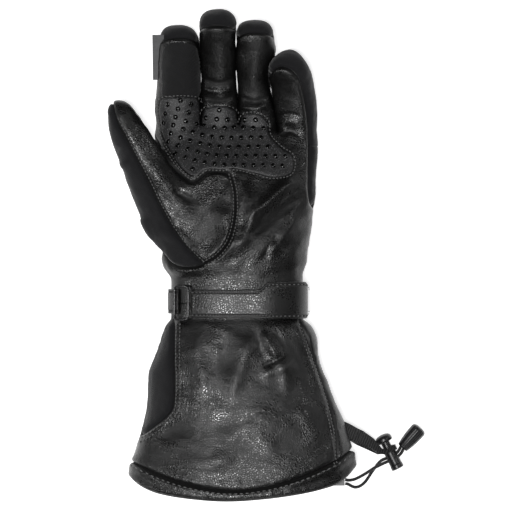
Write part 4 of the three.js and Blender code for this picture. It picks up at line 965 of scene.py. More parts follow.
def inside_outline(outline, points):
    """Signed distance to a closed outline: positive inside, by crossings of a ray along X."""
    x, y = points[:, 0], points[:, 1]
    within = np.zeros(len(points), bool)
    for (ax, ay), (bx, by) in zip(outline, np.roll(outline, -1, axis=0)):
        if ay != by:
            within ^= ((ay > y) != (by > y)) & (x < (bx - ax) * (y - ay) / (by - ay) + ax)
    away = np.abs(line_side(np.vstack([outline, outline[:1]]), points))
    return np.where(within, away, -away)


# Relief of each face of the glove

def fold_height(points, folds):
    """Sum of soft ridges: each follows a line in X and Y, falls off across it and fades at its ends."""
    height = np.zeros(len(points))
    for line, tall, wide in folds:
        line = smooth_line(line, 0.9)
        close = np.flatnonzero(np.all((points[:, :2] > line.min(axis=0) - 3 * wide)
                                      & (points[:, :2] < line.max(axis=0) + 3 * wide), axis=1))
        if not len(close):
            continue
        gap = points[close, None, :2] - line[None]
        away = np.linalg.norm(gap, axis=2)
        best = np.argmin(away, axis=1)
        ends = smoothstep(np.minimum(best, len(line) - 1 - best), -0.5, len(line) * 0.3)
        height[close] += tall * np.exp(-(away[np.arange(len(close)), best] / wide) ** 2) * ends
    return height


def ripple(points, size, seed, tall):
    """Soft random unevenness: a sum of twelve slanted sine waves about a size long."""
    chance = np.random.default_rng(seed)
    height = np.zeros(len(points))
    for _ in range(12):
        way = chance.normal(size=3)
        way *= 2 * math.pi / (size * chance.uniform(0.7, 1.5)) / np.linalg.norm(way)
        height += np.sin(points @ way + chance.uniform(0, 6.3))
    return tall * height / 3.5


# Folds on the palm side, traced in photograph pixels: line, height and width in millimetres
PALM_FOLDS = [(from_photo(line), tall, wide) for line, tall, wide in [
    ([(306, 174), (281, 190), (258, 211), (240, 222)], 1.7, 4.0),
    ([(306, 194), (284, 210), (254, 232), (238, 238)], -1.3, 3.0),
    ([(300, 214), (290, 226), (276, 242), (262, 258)], 1.1, 4.0),
    ([(246, 176), (250, 196), (252, 216), (244, 240), (228, 258)], 1.6, 4.5),
    ([(214, 200), (226, 222), (226, 244), (212, 262)], 1.5, 6.0),
    ([(150, 152), (160, 176), (174, 196), (186, 214)], 1.4, 4.5),
    ([(196, 204), (184, 196), (172, 190)], -1.0, 2.5),
    ([(262, 262), (270, 246), (282, 232)], -0.9, 2.5),
    ([(199, 79), (218, 84), (237, 79)], -0.9, 1.6), ([(199, 88), (218, 92), (237, 88)], 0.9, 2.0),
    ([(199, 97), (218, 101), (237, 97)], -0.9, 1.6), ([(238, 97), (254, 102), (269, 98)], -0.9, 1.6),
    ([(238, 105), (254, 109), (269, 105)], 0.9, 2.0), ([(276, 118), (290, 114), (303, 117)], -0.6, 1.8),
    ([(277, 127), (290, 122), (303, 127)], 0.6, 2.4), ([(279, 137), (290, 131), (301, 137)], -0.6, 1.8),
    ([(172, 96), (184, 98), (198, 96)], -0.6, 1.8),
    ([(166, 62), (182, 64), (196, 61)], 0.6, 3.0),
]]
CUFF_FOLDS = [(from_photo(line), tall, wide) for line, tall, wide in [
    ([(252, 328), (246, 350), (236, 380), (226, 404)], 1.6, 6.0),
    ([(268, 328), (276, 350), (284, 372), (286, 396)], 1.5, 4.5),
    ([(262, 328), (268, 342), (277, 360)], 1.5, 2.6), ([(254, 328), (259, 344), (264, 360)], -0.9, 2.8),
    ([(272, 326), (280, 340), (288, 356)], -1.1, 2.4),
    ([(280, 330), (292, 350), (304, 372), (312, 396)], -1.0, 4.0),
    ([(258, 366), (268, 363), (280, 357), (292, 350)], -0.8, 1.8),
    ([(258, 376), (280, 368), (298, 362)], 1.3, 4.5),
    ([(198, 330), (196, 352), (202, 376), (198, 400)], 1.6, 6.5),
    ([(222, 330), (226, 354), (222, 378)], -0.9, 4.5),
    ([(180, 452), (196, 462), (216, 460), (236, 450)], 1.2, 6.0),
    ([(250, 424), (262, 440), (282, 446)], 1.1, 6.0),
    ([(160, 440), (176, 430), (196, 432)], -0.8, 5.0),
    ([(214, 430), (238, 420), (262, 414)], -0.8, 5.0),
    ([(296, 400), (310, 424), (320, 446)], 1.1, 5.0),
]]
THUMB_FOLDS = [(from_photo(line), tall, wide) for line, tall, wide in [
    ([(96, 158), (108, 154), (124, 150)], -0.9, 2.2),
    ([(104, 172), (116, 168), (132, 160)], 0.9, 3.2),
    ([(150, 228), (164, 232), (182, 238)], 1.2, 5.0),
    ([(134, 214), (146, 228), (158, 244)], 1.0, 4.0),
    ([(196, 252), (186, 240), (172, 226)], -0.9, 3.0),
]]
BACK_FOLDS = [(np.asarray(line, float), tall, wide) for line, tall, wide in [
    ([(-40, 20), (-20, 34), (4, 36), (30, 26)], 1.2, 6.0), ([(-34, 60), (-10, 66), (20, 62)], 0.9, 7.0),
    ([(-40, -30), (-44, -60), (-50, -90)], 1.5, 8.0), ([(0, -26), (4, -58), (2, -92)], 1.4, 8.0),
    ([(36, -28), (46, -60), (54, -90)], 1.4, 8.0), ([(-46, 100), (0, 108), (44, 100)], -0.8, 5.0),
]]


def relief(points, normals, seams):
    """Height of the leather or softshell over the plain form, and a painted shade value for each point,
    highest in fold valleys and seam grooves, that darkens the leather's colour.

    The height is the sum of folds and ripples, which fade at a seam, a puffed edge that is highest
    PUFF_REACH from it, and a groove that falls off across it. Nothing shows under the strap.
    """
    front = smoothstep(normals[:, 2], -0.15, 0.35)
    off_strap = smoothstep(np.abs(points[:, 1] - (BAND_HIGH - BAND_LOW) / 2), 12, 20)
    folds = FOLD_DEPTH * fold_height(points, PALM_FOLDS + THUMB_FOLDS) + fold_height(points, CUFF_FOLDS)
    folds = folds * front + fold_height(points, BACK_FOLDS) * (1 - front)
    top_of_floor = smoothstep(points[:, 2], 1.0, 6.0)
    on_hand_side = smoothstep(points[:, 1], -20, 10)
    height = (folds + ripple(points, *BROAD_RIPPLE)
              + (0.35 + 0.65 * on_hand_side) * ripple(points, *SMALL_RIPPLE)
              + ripple(points * (0.6, 1.4, 1.0), *FINE_RIPPLE))
    edge = np.minimum(np.abs(seams), 12)
    puff = PUFF_HEIGHT * (edge / PUFF_REACH) * np.exp(1 - edge / PUFF_REACH)
    puff -= GROOVE_DEPTH * np.exp(-((edge / GROOVE_HALF) ** 2))
    across = ripple(points, *SEAM_RIPPLE) * np.exp(-((edge / 5.0) ** 2))
    height = height * smoothstep(edge, 0, 3.0) + puff + across * smoothstep(edge, 0.2, 1.5)
    height *= off_strap * (0.15 + 0.85 * top_of_floor)
    # Painted shade: the deeper a fold's valley or the nearer a seam's groove, the darker the leather's base
    # colour is painted.
    crease = np.clip(-height * 0.5, 0, 1) + 0.5 * np.exp(-((edge / 0.9) ** 2))
    return height, crease


def thinned(points, triangles):
    """Only the points that triangles use, renumbered."""
    used, place = np.unique(triangles, return_inverse=True)
    return points[used], place.reshape(-1, 3), used


def welded(points, triangles, smallest=4e-6):
    """Triangles without the slivers whose corners have met."""
    a, b, c = (points[triangles[:, k]] for k in range(3))
    area = np.linalg.norm(np.cross(b - a, c - a), axis=1)
    return triangles[area > smallest]


def border(triangles):
    """Edges that only one triangle uses, in its order."""
    edges = np.concatenate([triangles[:, [0, 1]], triangles[:, [1, 2]], triangles[:, [2, 0]]])
    top = triangles.max() + 1
    key = edges.min(axis=1).astype(np.int64) * top + edges.max(axis=1)
    _, first, count = np.unique(key, return_index=True, return_counts=True)
    return edges[first[count == 1]]


def split_quads(faces):
    """Two triangles from each face of four."""
    return np.concatenate([faces[:, [0, 1, 2]], faces[:, [0, 2, 3]]])


def shell_solid(outer, normals, triangles, wall):
    """A closed skin: the outer surface, the same set in by a wall along its normals, and rims between."""
    count = len(outer)
    inner = outer - normals * wall
    rim = border(triangles)
    a, b = rim.T
    sides = np.concatenate([np.column_stack([a, b + count, b]), np.column_stack([a, a + count, b + count])])
    return np.concatenate([outer, inner]), np.concatenate([triangles, triangles[:, ::-1] + count, sides])


# The glove's shell: one surface, cut along its seams

FIELD = glove_distance()
SURFACE, SURFACE_QUADS = surface_net(FIELD)
SURFACE = settled(FIELD, SURFACE, SURFACE_QUADS)
SURFACE_TRIANGLES = split_quads(SURFACE_QUADS)


def column_of(points):
    """Which finger's column each point is in, 0 to 3."""
    lines = np.column_stack([column_line(index, points[:, 1]) for index in (1, 2, 3)])
    return (points[:, :1] > lines).sum(axis=1)


def thumb_leather_value(points):
    """Positive on the leather between the thumb's seam and the palm's arc."""
    edge = line_side(smooth_line(on_hand(THUMB_LEATHER_EDGE), 2.0), points)
    above = line_side(smooth_line(on_hand(BASE_SEAM)[::-1], 2.0), points)
    return np.minimum(edge, above)


def tip_value(points, column):
    """Positive on the leather: below each fingertip's cap, and left of the little finger's side seam."""
    y = points[:, 1]
    value = np.full(len(points), NO_SEAM)
    for index, seam in enumerate(CAP_SEAMS):
        left, right = column_line(index, y), column_line(index + 1, y)
        share = (points[:, 0] - (left + right) / 2) / (right - left) * 2
        value = np.where(column == index, seam - CAP_BOW * share**2 - y, value)
    side = -line_side(smooth_line(LITTLE_SEAM, 2.0), points)
    return np.where((column == 3) & (y > ABOVE_THUMB_BASE), side, value)


def palm_value(points):
    """Positive on the palm's side of the side seams: a height per finger past the roots, the middle below."""
    value = np.empty(len(points))
    _, _, top, low = body_section(np.clip(points[:, 1], -CUFF_LENGTH, HAND_LENGTH))
    body = points[:, 2] - (low + (top - low) * 0.48)
    column = column_of(points)
    for index, finger in enumerate(FINGERS):
        pick = column == index
        _, offset, _ = along_line(finger_line(finger), points[pick, 1], points[pick, 2])
        high = offset - (finger[3] - 0.5) * FINGER_DEPTH
        blend = smoothstep(points[pick, 1], 96, 116)
        value[pick] = body[pick] * (1 - blend) + high * blend
    return np.minimum(value, tip_value(points, column))


def thumb_value(points):
    """Positive where a point belongs to the thumb rather than the palm."""
    y = points[:, 1]
    seam = -line_side(smooth_line(on_hand(THUMB_SEAM), 2.0), points)
    below = line_side(smooth_line(on_hand(BASE_SEAM)[::-1], 2.0), points)
    return np.where(y > ABOVE_THUMB_BASE, seam, np.minimum(seam, below))


def cuff_side_height(points):
    """Height above the seam between the cuff's palm side and its back."""
    _, _, top, low = body_section(points[:, 1])
    rise = through(SIDE_SEAM_RISE, np.clip(-points[:, 1] / CUFF_LENGTH, -1.2, 1.3))[0]
    return points[:, 2] - (low + (top - low) * rise)


def above_hem(points, edge):
    """Distance above the hem's end for edge 0, or its binding's upper edge for 1: low in the middle."""
    return points[:, 1] + through(HEM_ROWS, points[:, 0] / HEM_WIDTH)[edge] * CUFF_LENGTH


class Skin:
    """A share of the shell's surface: its points, triangles and distance to the nearest seam."""

    def __init__(self, points, triangles, seam=None):
        self.points = points
        self.triangles = triangles
        self.seam = np.full(len(points), NO_SEAM) if seam is None else seam

    def split(self, value, sewn=True):
        """Two shares, above and below zero of a value; the line between them is a seam where it is sewn."""
        values = value(self.points)
        values = np.where(np.abs(values) < 0.02, 0.02, values)
        points, upper, lower = cut(self.points, self.triangles, values)
        added = len(points) - len(self.points)
        near = np.concatenate([np.minimum(self.seam, np.abs(values)), np.zeros(added)])
        if not sewn:
            near = np.concatenate([self.seam, np.full(added, NO_SEAM)])
        halves = []
        for part in (upper, lower):
            kept, triangles, used = thinned(points, welded(points, part))
            halves.append(Skin(kept, triangles, near[used]))
        return halves


def panel(name, skin, material, stands_for, wall, proud=0.0):
    """A sewn panel from one share of the shell: relief outside, a wall's thickness, closed rims."""
    normals = slope_at(FIELD, skin.points)
    height, crease = relief(skin.points, normals, skin.seam)
    edge = np.minimum(skin.seam, 5)
    outer = skin.points + normals * (height + proud * smoothstep(edge, -0.6, 0.6))[:, None]
    outer[:, 2] = np.maximum(outer[:, 2], 0.05)
    points, triangles = shell_solid(outer, normals, skin.triangles, wall)
    both = np.concatenate([crease, crease])
    make_piece(name, points, triangles, material, stands_for, attributes={"crease": both})


def make_shell():
    """Cuts the whole surface into the panels of hand, fingers, thumb and cuff."""
    whole = Skin(SURFACE, SURFACE_TRIANGLES)
    hand, cuff = whole.split(lambda p: p[:, 1], sewn=False)
    thumb, palm = hand.split(thumb_value)
    facing, back = palm.split(palm_value)
    thumb_leather, front = facing.split(thumb_leather_value)
    backs, back_low = back.split(lambda p: p[:, 1] - FINGER_SPLIT, sewn=False)
    cuff_end, _ = cuff.split(lambda p: above_hem(p, 0))
    upper, binding = cuff_end.split(lambda p: above_hem(p, 1))
    top, low = upper.split(cuff_side_height)
    leather, side_panel = top.split(lambda p: -line_side(smooth_line(on_cuff(SIDE_SEAM)[::-1], 2.0), p))
    main, gusset = leather.split(lambda p: line_side(smooth_line(on_cuff(GUSSET_SEAM)[::-1], 2.0), p))
    panel("palm_leather", front, LEATHER,
          ["palm_panel"] + [finger[0] + "_front" for finger in FINGERS], HAND_WALL)
    panel("back_softshell", back_low, SOFTSHELL, ["back_panel"], HAND_WALL)
    panel("fingers_softshell", backs, SOFTSHELL,
          [finger[0] + "_back" for finger in FINGERS], HAND_WALL)
    panel("thumb_leather", thumb_leather, LEATHER, ["thumb_front"], HAND_WALL)
    panel("thumb_softshell", thumb, SOFTSHELL, ["thumb_back"], HAND_WALL)
    panel("cuff_leather", main, LEATHER, ["cuff_front"], CUFF_WALL)
    panel("cuff_gusset_leather", gusset, LEATHER, ["cuff_gusset"], CUFF_WALL)
    panel("cuff_side_softshell", side_panel, SOFTSHELL, ["cuff_side_panel"], CUFF_WALL)
    panel("cuff_back_softshell", low, SOFTSHELL, ["cuff_back"], CUFF_WALL)
    panel("hem_band", binding, LEATHER, ["hem_binding"], CUFF_WALL + 1, BINDING_PROUD)
    return front


# Bands, tubes and turned pieces

def ring_faces(rings, count, closed=False):
    """Faces of four between neighbouring rings of points; a closed run joins its last ring to its first."""
    ring = np.arange(rings if closed else rings - 1)[:, None] * count
    after = (ring + count) % (rings * count)
    here = np.arange(count)[None]
    there = (here + 1) % count
    return np.stack([ring + here, ring + there, after + there, after + here], axis=-1).reshape(-1, 4)


def carried(centres, wide, thick, profile, closed=False):
    """A profile carried along centres: each ring is centre + a * wide + b * thick for the profile's (a, b).

    Open runs are capped by a fan to the end ring's middle.
    """
    rings = len(centres)
    count = len(profile)
    points = (centres[:, None] + profile[None, :, :1] * wide[:, None]
              + profile[None, :, 1:] * thick[:, None]).reshape(-1, 3)
    triangles = split_quads(ring_faces(rings, count, closed))
    if not closed:
        tips = np.vstack([centres[0], centres[-1]])
        points = np.vstack([points, tips])
        base = rings * count
        last = base - count
        here = np.arange(count)
        there = (here + 1) % count
        ends = np.vstack([
            np.column_stack([np.full(count, base), there, here]),
            np.column_stack([np.full(count, base + 1), last + here, last + there]),
        ])
        triangles = np.vstack([triangles, ends])
    return points, triangles


def frames(centres, up):
    """Directions across and up for each centre of a path, square to it and nearest to an up direction."""
    along = np.gradient(centres, axis=0)
    along /= np.linalg.norm(along, axis=1)[:, None]
    up = np.broadcast_to(np.asarray(up, float), centres.shape)
    across = np.cross(along, up)
    across /= np.linalg.norm(across, axis=1)[:, None]
    return across, np.cross(across, along)


def rounded_box(half_wide, half_thick, power=4.0, sides=28):
    """Superellipse outline: cosine and sine, each raised to two over a power."""
    angle = np.linspace(0, 2 * math.pi, sides, endpoint=False)
    a, b = np.cos(angle), np.sin(angle)
    return np.column_stack([half_wide * np.sign(a) * np.abs(a) ** (2 / power),
                            half_thick * np.sign(b) * np.abs(b) ** (2 / power)])


def uv_along(centres, count):
    """UV of rings: around from 0 to 1, along from 0 to 1, and the two tips at the ends."""
    along = np.repeat(np.linspace(0, 1, len(centres)), count)
    around = np.tile(np.linspace(0, 1, count, endpoint=False), len(centres))
    return np.vstack([np.column_stack([around, along]), [(0.5, 0), (0.5, 1)]])


def turned(name, start, lean, profile, material, slot, stands_for, rise, flutes=0, flute_depth=0.0,
           body="glove", holes=()):
    """A profile of (station, radius) spun around an axis from a point, with flutes along it and holes."""
    profile = np.asarray(profile, float)
    dense = np.vstack([np.linspace(a, b, 4, endpoint=False) for a, b in zip(profile[:-1], profile[1:])]
                      + [profile[-1:]])
    sides = 72
    angle = np.linspace(0, 2 * math.pi, sides, endpoint=False)
    axis = np.array([math.cos(lean), math.sin(lean), 0])
    across = np.array([-axis[1], axis[0], 0])
    up = np.array([0, 0, 1.0])
    radius = dense[:, 1:2] * (1 - flute_depth * (0.5 + 0.5 * np.cos(flutes * angle))[None])
    centre = np.array([*start, rise]) + dense[:, :1] * axis
    points = (centre[:, None] + radius[..., None] * (np.cos(angle)[:, None] * across
                                                     + np.sin(angle)[:, None] * up)).reshape(-1, 3)
    triangles = split_quads(ring_faces(len(dense), sides))
    piece = make_piece(name, points, triangles, material, stands_for, body)
    turn_outwards(piece.data)
    for place, reach, wide in holes:
        bore = cutter(np.array([*start, rise]) + place * axis, across, reach, axis, wide)
        tool = piece.modifiers.new("bore", "BOOLEAN")
        tool.object = bore
        tool.solver = "EXACT"
        bpy.context.view_layer.objects.active = piece
        bpy.ops.object.modifier_apply(modifier="bore")
        bpy.data.objects.remove(bore)
    smooth_edges(piece)
    return piece


def turn_outwards(mesh):
    """Merges a closed mesh's doubled points and turns its faces outwards."""
    bm = bmesh.new()
    bm.from_mesh(mesh)
    bmesh.ops.remove_doubles(bm, verts=bm.verts, dist=1e-6)
    bmesh.ops.recalc_face_normals(bm, faces=bm.faces)
    bm.to_mesh(mesh)
    bm.free()


def cutter(centre, way, reach, wide_way, wide):
    """A flat-sided rounded bar to cut a cord's hole with."""
    stations = np.array([centre - way * reach, centre + way * reach])
    across = np.tile(wide_way, (2, 1))
    up = np.tile([0, 0, 1.0], (2, 1))
    outline = rounded_box(wide / 2, CORD_DIAMETER / 2 + GAP, 2.6)
    points, triangles = carried(stations, across, up, outline)
    mesh = bpy.data.meshes.new("bore")
    mesh.from_pydata(((points + SHIFT) * MM).tolist(), [], triangles.tolist())
    bore = bpy.data.objects.new("bore", mesh)
    bpy.context.scene.collection.objects.link(bore)
    turn_outwards(mesh)
    return bore


def smooth_edges(piece, angle=0.6):
    """Sharp shading only where faces meet at a real corner."""
    mesh = piece.data
    bm = bmesh.new()
    bm.from_mesh(mesh)
    for edge in bm.edges:
        edge.smooth = not (len(edge.link_faces) == 2 and edge.calc_face_angle(0) > angle)
    bm.to_mesh(mesh)
    bm.free()


# Cords with their lock and end

def make_tube(name, route, radius, material, stands_for, sides=20):
    """A round tube along a smooth line through the route's points."""
    centres = smooth_line(route, 0.6)
    across, up = frames(centres, (0, 0, 1))
    outline = rounded_box(radius, radius, 2.0, sides)
    points, triangles = carried(centres, across, up, outline)
    return make_piece(name, points, triangles, material, stands_for, uv=uv_along(centres, sides))


def make_lock_pieces():
    """The lock's plunger slides in the barrel; both are bored for the strands."""
    lean = math.radians(LOCK_ANGLE)
    radius = LOCK_DIAMETER / 2
    half = BUTTON_DIAMETER / 2
    inner = STEM_RADIUS + GAP
    base = LOCK_LENGTH - FLOOR_WALL
    barrel = turned(
        "lock_barrel", BUTTON_TOP, lean,
        [(base, 0), (base, inner), (BARREL_TOP, inner), (BARREL_TOP, radius - 0.25),
         (BARREL_TOP + 0.35, radius), (LOCK_LENGTH - 3.6, radius),
         (LOCK_LENGTH - 2.9, radius + 0.25), (LOCK_LENGTH - 0.5, radius + 0.25),
         (LOCK_LENGTH, radius - 0.3), (LOCK_LENGTH, 0)],
        PLASTIC, "plastic", ["cord_lock_body"], LOCK_RISE, holes=[(HOLE_STATION, HOLE_REACH, HOLE_LENGTH)])
    stem_end = base - LOCK_TRAVEL - GAP
    plunger = turned(
        "lock_button", BUTTON_TOP, lean,
        [(0, 0), (0.1, 1.6), (0.5, 3.4), (1.2, 4.8), (2.1, 5.6), (3.2, half), (BUTTON_HEIGHT - 0.9, half),
         (BUTTON_HEIGHT - 0.3, half - 0.35), (BUTTON_HEIGHT, half - 0.9), (BUTTON_HEIGHT, STEM_RADIUS),
         (stem_end - 0.3, STEM_RADIUS), (stem_end, STEM_RADIUS - 0.3), (stem_end, 0)],
        PLASTIC, "plastic", ["cord_lock_plunger"], LOCK_RISE, body="plunger",
        holes=[(HOLE_STATION - LOCK_TRAVEL / 2, HOLE_REACH, HOLE_LENGTH + LOCK_TRAVEL)])
    return barrel, plunger


def make_bell():
    """Ribbed cord end, narrow at the strands' side, with a socket for them."""
    lean = math.radians(BELL_ANGLE)
    half = BELL_DIAMETER / 2
    return turned(
        "cord_bell", BELL_START, lean,
        [(SOCKET_DEPTH, 0), (SOCKET_DEPTH, 2.75), (0.15, 2.75), (0, 3.0), (0, half - 2.3), (0.6, half - 1.6),
         (4, half - 0.9), (9, half - 0.25), (13.5, half), (BELL_LENGTH - 2.4, half),
         (BELL_LENGTH - 1.2, half - 0.5), (BELL_LENGTH - 0.35, half - 1.8), (BELL_LENGTH, half - 3.4),
         (BELL_LENGTH, 0)],
        PLASTIC, "plastic", ["cord_end"], BELL_RISE, flutes=14, flute_depth=0.035)


def make_cords():
    """Both drawcord strands from the hem's outlet through the lock to the cord end."""
    fitted = [*make_lock_pieces(), make_bell()]
    for name, node, route in (("drawcord_strand_a", "drawcord_upper", DRAWCORD_UPPER),
                              ("drawcord_strand_b", "drawcord_lower", DRAWCORD_LOWER)):
        tube = make_tube(name, route, CORD_DIAMETER / 2, BRAID, [node])


make_cords()
palm_skin = make_shell()


# Strap, ring and tabs around the wrist

def wrist_section(x):
    """Height of the wrist's top at X, on a superellipse, then the section's middle and half sizes."""
    left, right, top, low = body_section(STRAP_MIDDLE)
    half, middle = (left + right) / 2, (right - left) / 2
    deep, centre = (top - low) / 2, (top + low) / 2
    share = np.clip((x - middle) / half, -0.9999, 0.9999)
    z = centre + deep * (1 - np.abs(share) ** ROUNDNESS) ** (1 / ROUNDNESS)
    return z, middle, half, centre, deep


def wrist_path(start_x, end_x, lift, count=60):
    """Centres across the wrist at a lift off its surface, from one X to another, by even turning."""
    limits = np.array([start_x, end_x])
    z, middle, half, centre, deep = wrist_section(limits)
    ends = np.arctan2(z - centre, limits - middle)
    angle = np.linspace(ends[0], ends[1], count)
    c, s = np.cos(angle), np.sin(angle)
    size = (np.abs(c / half) ** ROUNDNESS + np.abs(s / deep) ** ROUNDNESS) ** (-1 / ROUNDNESS)
    x, z = middle + size * c, centre + size * s
    slope = np.column_stack([np.abs((x - middle) / half) ** (ROUNDNESS - 1) * np.sign(x - middle) / half,
                             np.abs((z - centre) / deep) ** (ROUNDNESS - 1) * np.sign(z - centre) / deep])
    slope /= np.linalg.norm(slope, axis=1)[:, None]
    return np.column_stack([x + slope[:, 0] * lift, z + slope[:, 1] * lift]), slope


def wrist_band(name, start_x, end_x, low_y, high_y, lift, thickness, material, stands_for):
    """A band over the wrist: low_y and high_y give its edges for shares along it, from 0 to 1."""
    path, slope = wrist_path(start_x, end_x, lift)
    share = np.linspace(0, 1, len(path))
    low, high = low_y(share), high_y(share)
    centres = np.column_stack([path[:, 0], (low + high) / 2, path[:, 1]])
    outline = rounded_box(1.0, 1.0, 5.0, 180)
    ease = np.sqrt(np.clip(1 - (1 - np.clip(np.minimum(share, 1 - share) * 30, 0, 1)) ** 2, 0.02, 1))
    wide = np.zeros((len(path), 3))
    wide[:, 1] = (high - low) / 2
    thick = np.column_stack([slope[:, 0], np.zeros(len(path)), slope[:, 1]]) * (thickness / 2 * ease)[:, None]
    points, triangles = carried(centres, wide, thick, outline)
    low, high = np.repeat(low, len(outline)), np.repeat(high, len(outline))
    y, top = points[:-2, 1], np.tile(outline[:, 1] > 0, len(path))
    off_row = np.minimum(np.abs(y - low - ROW_INSET), np.abs(y - high + ROW_INSET))
    # The groove along each stitch row; the same value paints shade into the strap leather's colour there,
    # darkening it under the stitches.
    crease = np.exp(-((off_row / ROW_HALF) ** 2)) * top
    points[:-2] -= (thick * 2 / thickness).repeat(len(outline), axis=0) * ROW_DEPTH * crease[:, None]
    return make_piece(name, points, triangles, material, stands_for,
                      attributes={"crease": np.append(crease, (0, 0))})


def tab_low(share):
    """Lower edge of the strap along it, with its end's rounded corner."""
    corner = smoothstep(share, 0.94, 1.0)
    return STRAP_MIDDLE - STRAP_WIDTH / 2 - 0.6 * smoothstep(share, 0.6, 0.75) + 3.0 * corner**2


def tab_high(share):
    """Upper edge of the strap along it: a step up to its wide end, and a rounded corner."""
    narrow = STRAP_MIDDLE + STRAP_WIDTH / 2
    return (narrow + (TAB_RISE - narrow) * smoothstep(share, 0.63, 0.72)
            - TAB_EASE * smoothstep(share, 0.94, 1.0))


def strap_lift(count, above=0.0):
    """Lift of the strap's middle off the wrist at even places along it: its wide end lies higher."""
    return STRAP_LIFT + above + TAB_LIFT * smoothstep(np.linspace(0, 1, count), 0.5, 0.75)


def make_strap():
    """Wrist strap from the ring's bar over the wrist, with its wide end towards the little finger's side."""
    wrist_band("strap_band", STRAP_BAR, STRAP_END - 0.5, tab_low, tab_high, strap_lift(60), STRAP_THICKNESS,
               STRAP_LEATHER, ["wrist_strap"])


def make_ring():
    """Round wire carried along a rounded rectangle between the strap and the tab at the thumb's side."""
    lift = RING_WIRE / 2 + 2.3
    path, _ = wrist_path(RING_BAR + 0.6, STRAP_BAR - 0.8, lift, 12)
    half_y = RING_LENGTH / 2 - RING_WIRE / 2
    first, last = path[0], path[-1]
    angle = np.linspace(0, 2 * math.pi, 96, endpoint=False)
    c, s = np.cos(angle), np.sin(angle)
    power = 6.0
    across = np.sign(c) * np.abs(c) ** (2 / power)
    tall = np.sign(s) * np.abs(s) ** (2 / power)
    share = (across + 1) / 2
    x = np.interp(share, np.linspace(0, 1, 12), path[:, 0])
    z = np.interp(share, np.linspace(0, 1, 12), path[:, 1])
    centres = np.column_stack([x, RING_MIDDLE + half_y * tall, z])
    along = np.roll(centres, -1, axis=0) - np.roll(centres, 1, axis=0)
    along /= np.linalg.norm(along, axis=1)[:, None]
    out = np.array([-(last - first)[1], 0, (last - first)[0]])
    out /= np.linalg.norm(out)
    wide = np.cross(along, out)
    wide /= np.linalg.norm(wide, axis=1)[:, None]
    thick = np.cross(wide, along)
    outline = rounded_box(RING_WIRE / 2, RING_WIRE / 2, 2.6, 20)
    points, triangles = carried(centres, wide, thick, outline, closed=True)
    make_piece("strap_ring_frame", points, triangles, RING_PLASTIC, ["strap_ring"])


def make_ring_tab():
    """Short tab of leather from the side seam over the ring's outer bar."""
    half = RING_TAB_WIDTH / 2
    flat = lambda value: (lambda share: np.full(len(share), value))
    wrist_band("ring_loop", TAB_SEAM + 6, RING_BAR + 2.6, flat(RING_TAB_MIDDLE - half),
               flat(RING_TAB_MIDDLE + half), 1.9, RING_TAB_THICKNESS + 1.2, STRAP_LEATHER,
               ["ring_tab"])


make_strap()
make_ring()
make_ring_tab()


# Height map of the palm side, for stitches and dots

def top_surface(x, y):
    """Highest point of the form over places in X and Y, and its normal, from the grid."""
    axes = grid_axes()
    column_x = np.clip(np.searchsorted(axes[0], x), 1, len(axes[0]) - 1)
    column_y = np.clip(np.searchsorted(axes[1], y), 1, len(axes[1]) - 1)
    inside = FIELD[column_x, column_y] < 0
    highest = len(axes[2]) - 1 - np.argmax(inside[:, ::-1], axis=1)
    points = np.column_stack([x, y, axes[2][highest]])
    for _ in range(6):
        slope = slope_at(FIELD, points)
        points[:, 2] -= np.clip(sampled(FIELD, points) / np.maximum(slope[:, 2], 0.3), -1, 1)
    return points, slope_at(FIELD, points), inside.any(axis=1)


def dressed(x, y, seam):
    """Places on the dressed palm side, with relief for a distance from a seam, and which ones face up."""
    points, normals, found = top_surface(x, y)
    height, _ = relief(points, normals, np.full(len(points), seam))
    return points + normals * height[:, None], normals, found & (normals[:, 2] > 0.25)


def repeated(name, shape, faces, centres, ways, normals, size, material):
    """One small shape set at many places: its axes are a way along the surface, across it and its normal."""
    across = np.cross(normals, ways)
    across /= np.maximum(np.linalg.norm(across, axis=1), 1e-9)[:, None]
    along = np.cross(across, normals)
    points = (centres[:, None] + size[0] * shape[None, :, :1] * along[:, None]
              + size[1] * shape[None, :, 1:2] * across[:, None]
              + size[2] * shape[None, :, 2:] * normals[:, None]).reshape(-1, 3)
    triangles = (np.arange(len(centres))[:, None, None] * len(shape) + faces[None]).reshape(-1, 3)
    return make_piece(name, points, triangles, material)


def bead(rings, sides):
    """Ball of unit radius from rings of points, with its poles closed."""
    lift = np.linspace(-math.pi / 2, math.pi / 2, rings + 2)[1:-1]
    turn = np.linspace(0, 2 * math.pi, sides, endpoint=False)
    ball = np.stack([np.cos(lift)[:, None] * np.cos(turn), np.cos(lift)[:, None] * np.sin(turn),
                     np.repeat(np.sin(lift)[:, None], sides, axis=1)], axis=-1).reshape(-1, 3)
    ball = np.vstack([ball, (0, 0, -1), (0, 0, 1)])
    here = np.arange(sides)
    there = (here + 1) % sides
    faces = [np.column_stack([np.full(sides, rings * sides), there, here]),
             np.column_stack([np.full(sides, rings * sides + 1), (rings - 1) * sides + here,
                              (rings - 1) * sides + there]),
             split_quads(ring_faces(rings, sides))]
    return ball, np.vstack(faces)


STITCH_SHAPE, STITCH_FACES = bead(3, 6)
DOT_SHAPE, DOT_FACES = bead(5, 12)


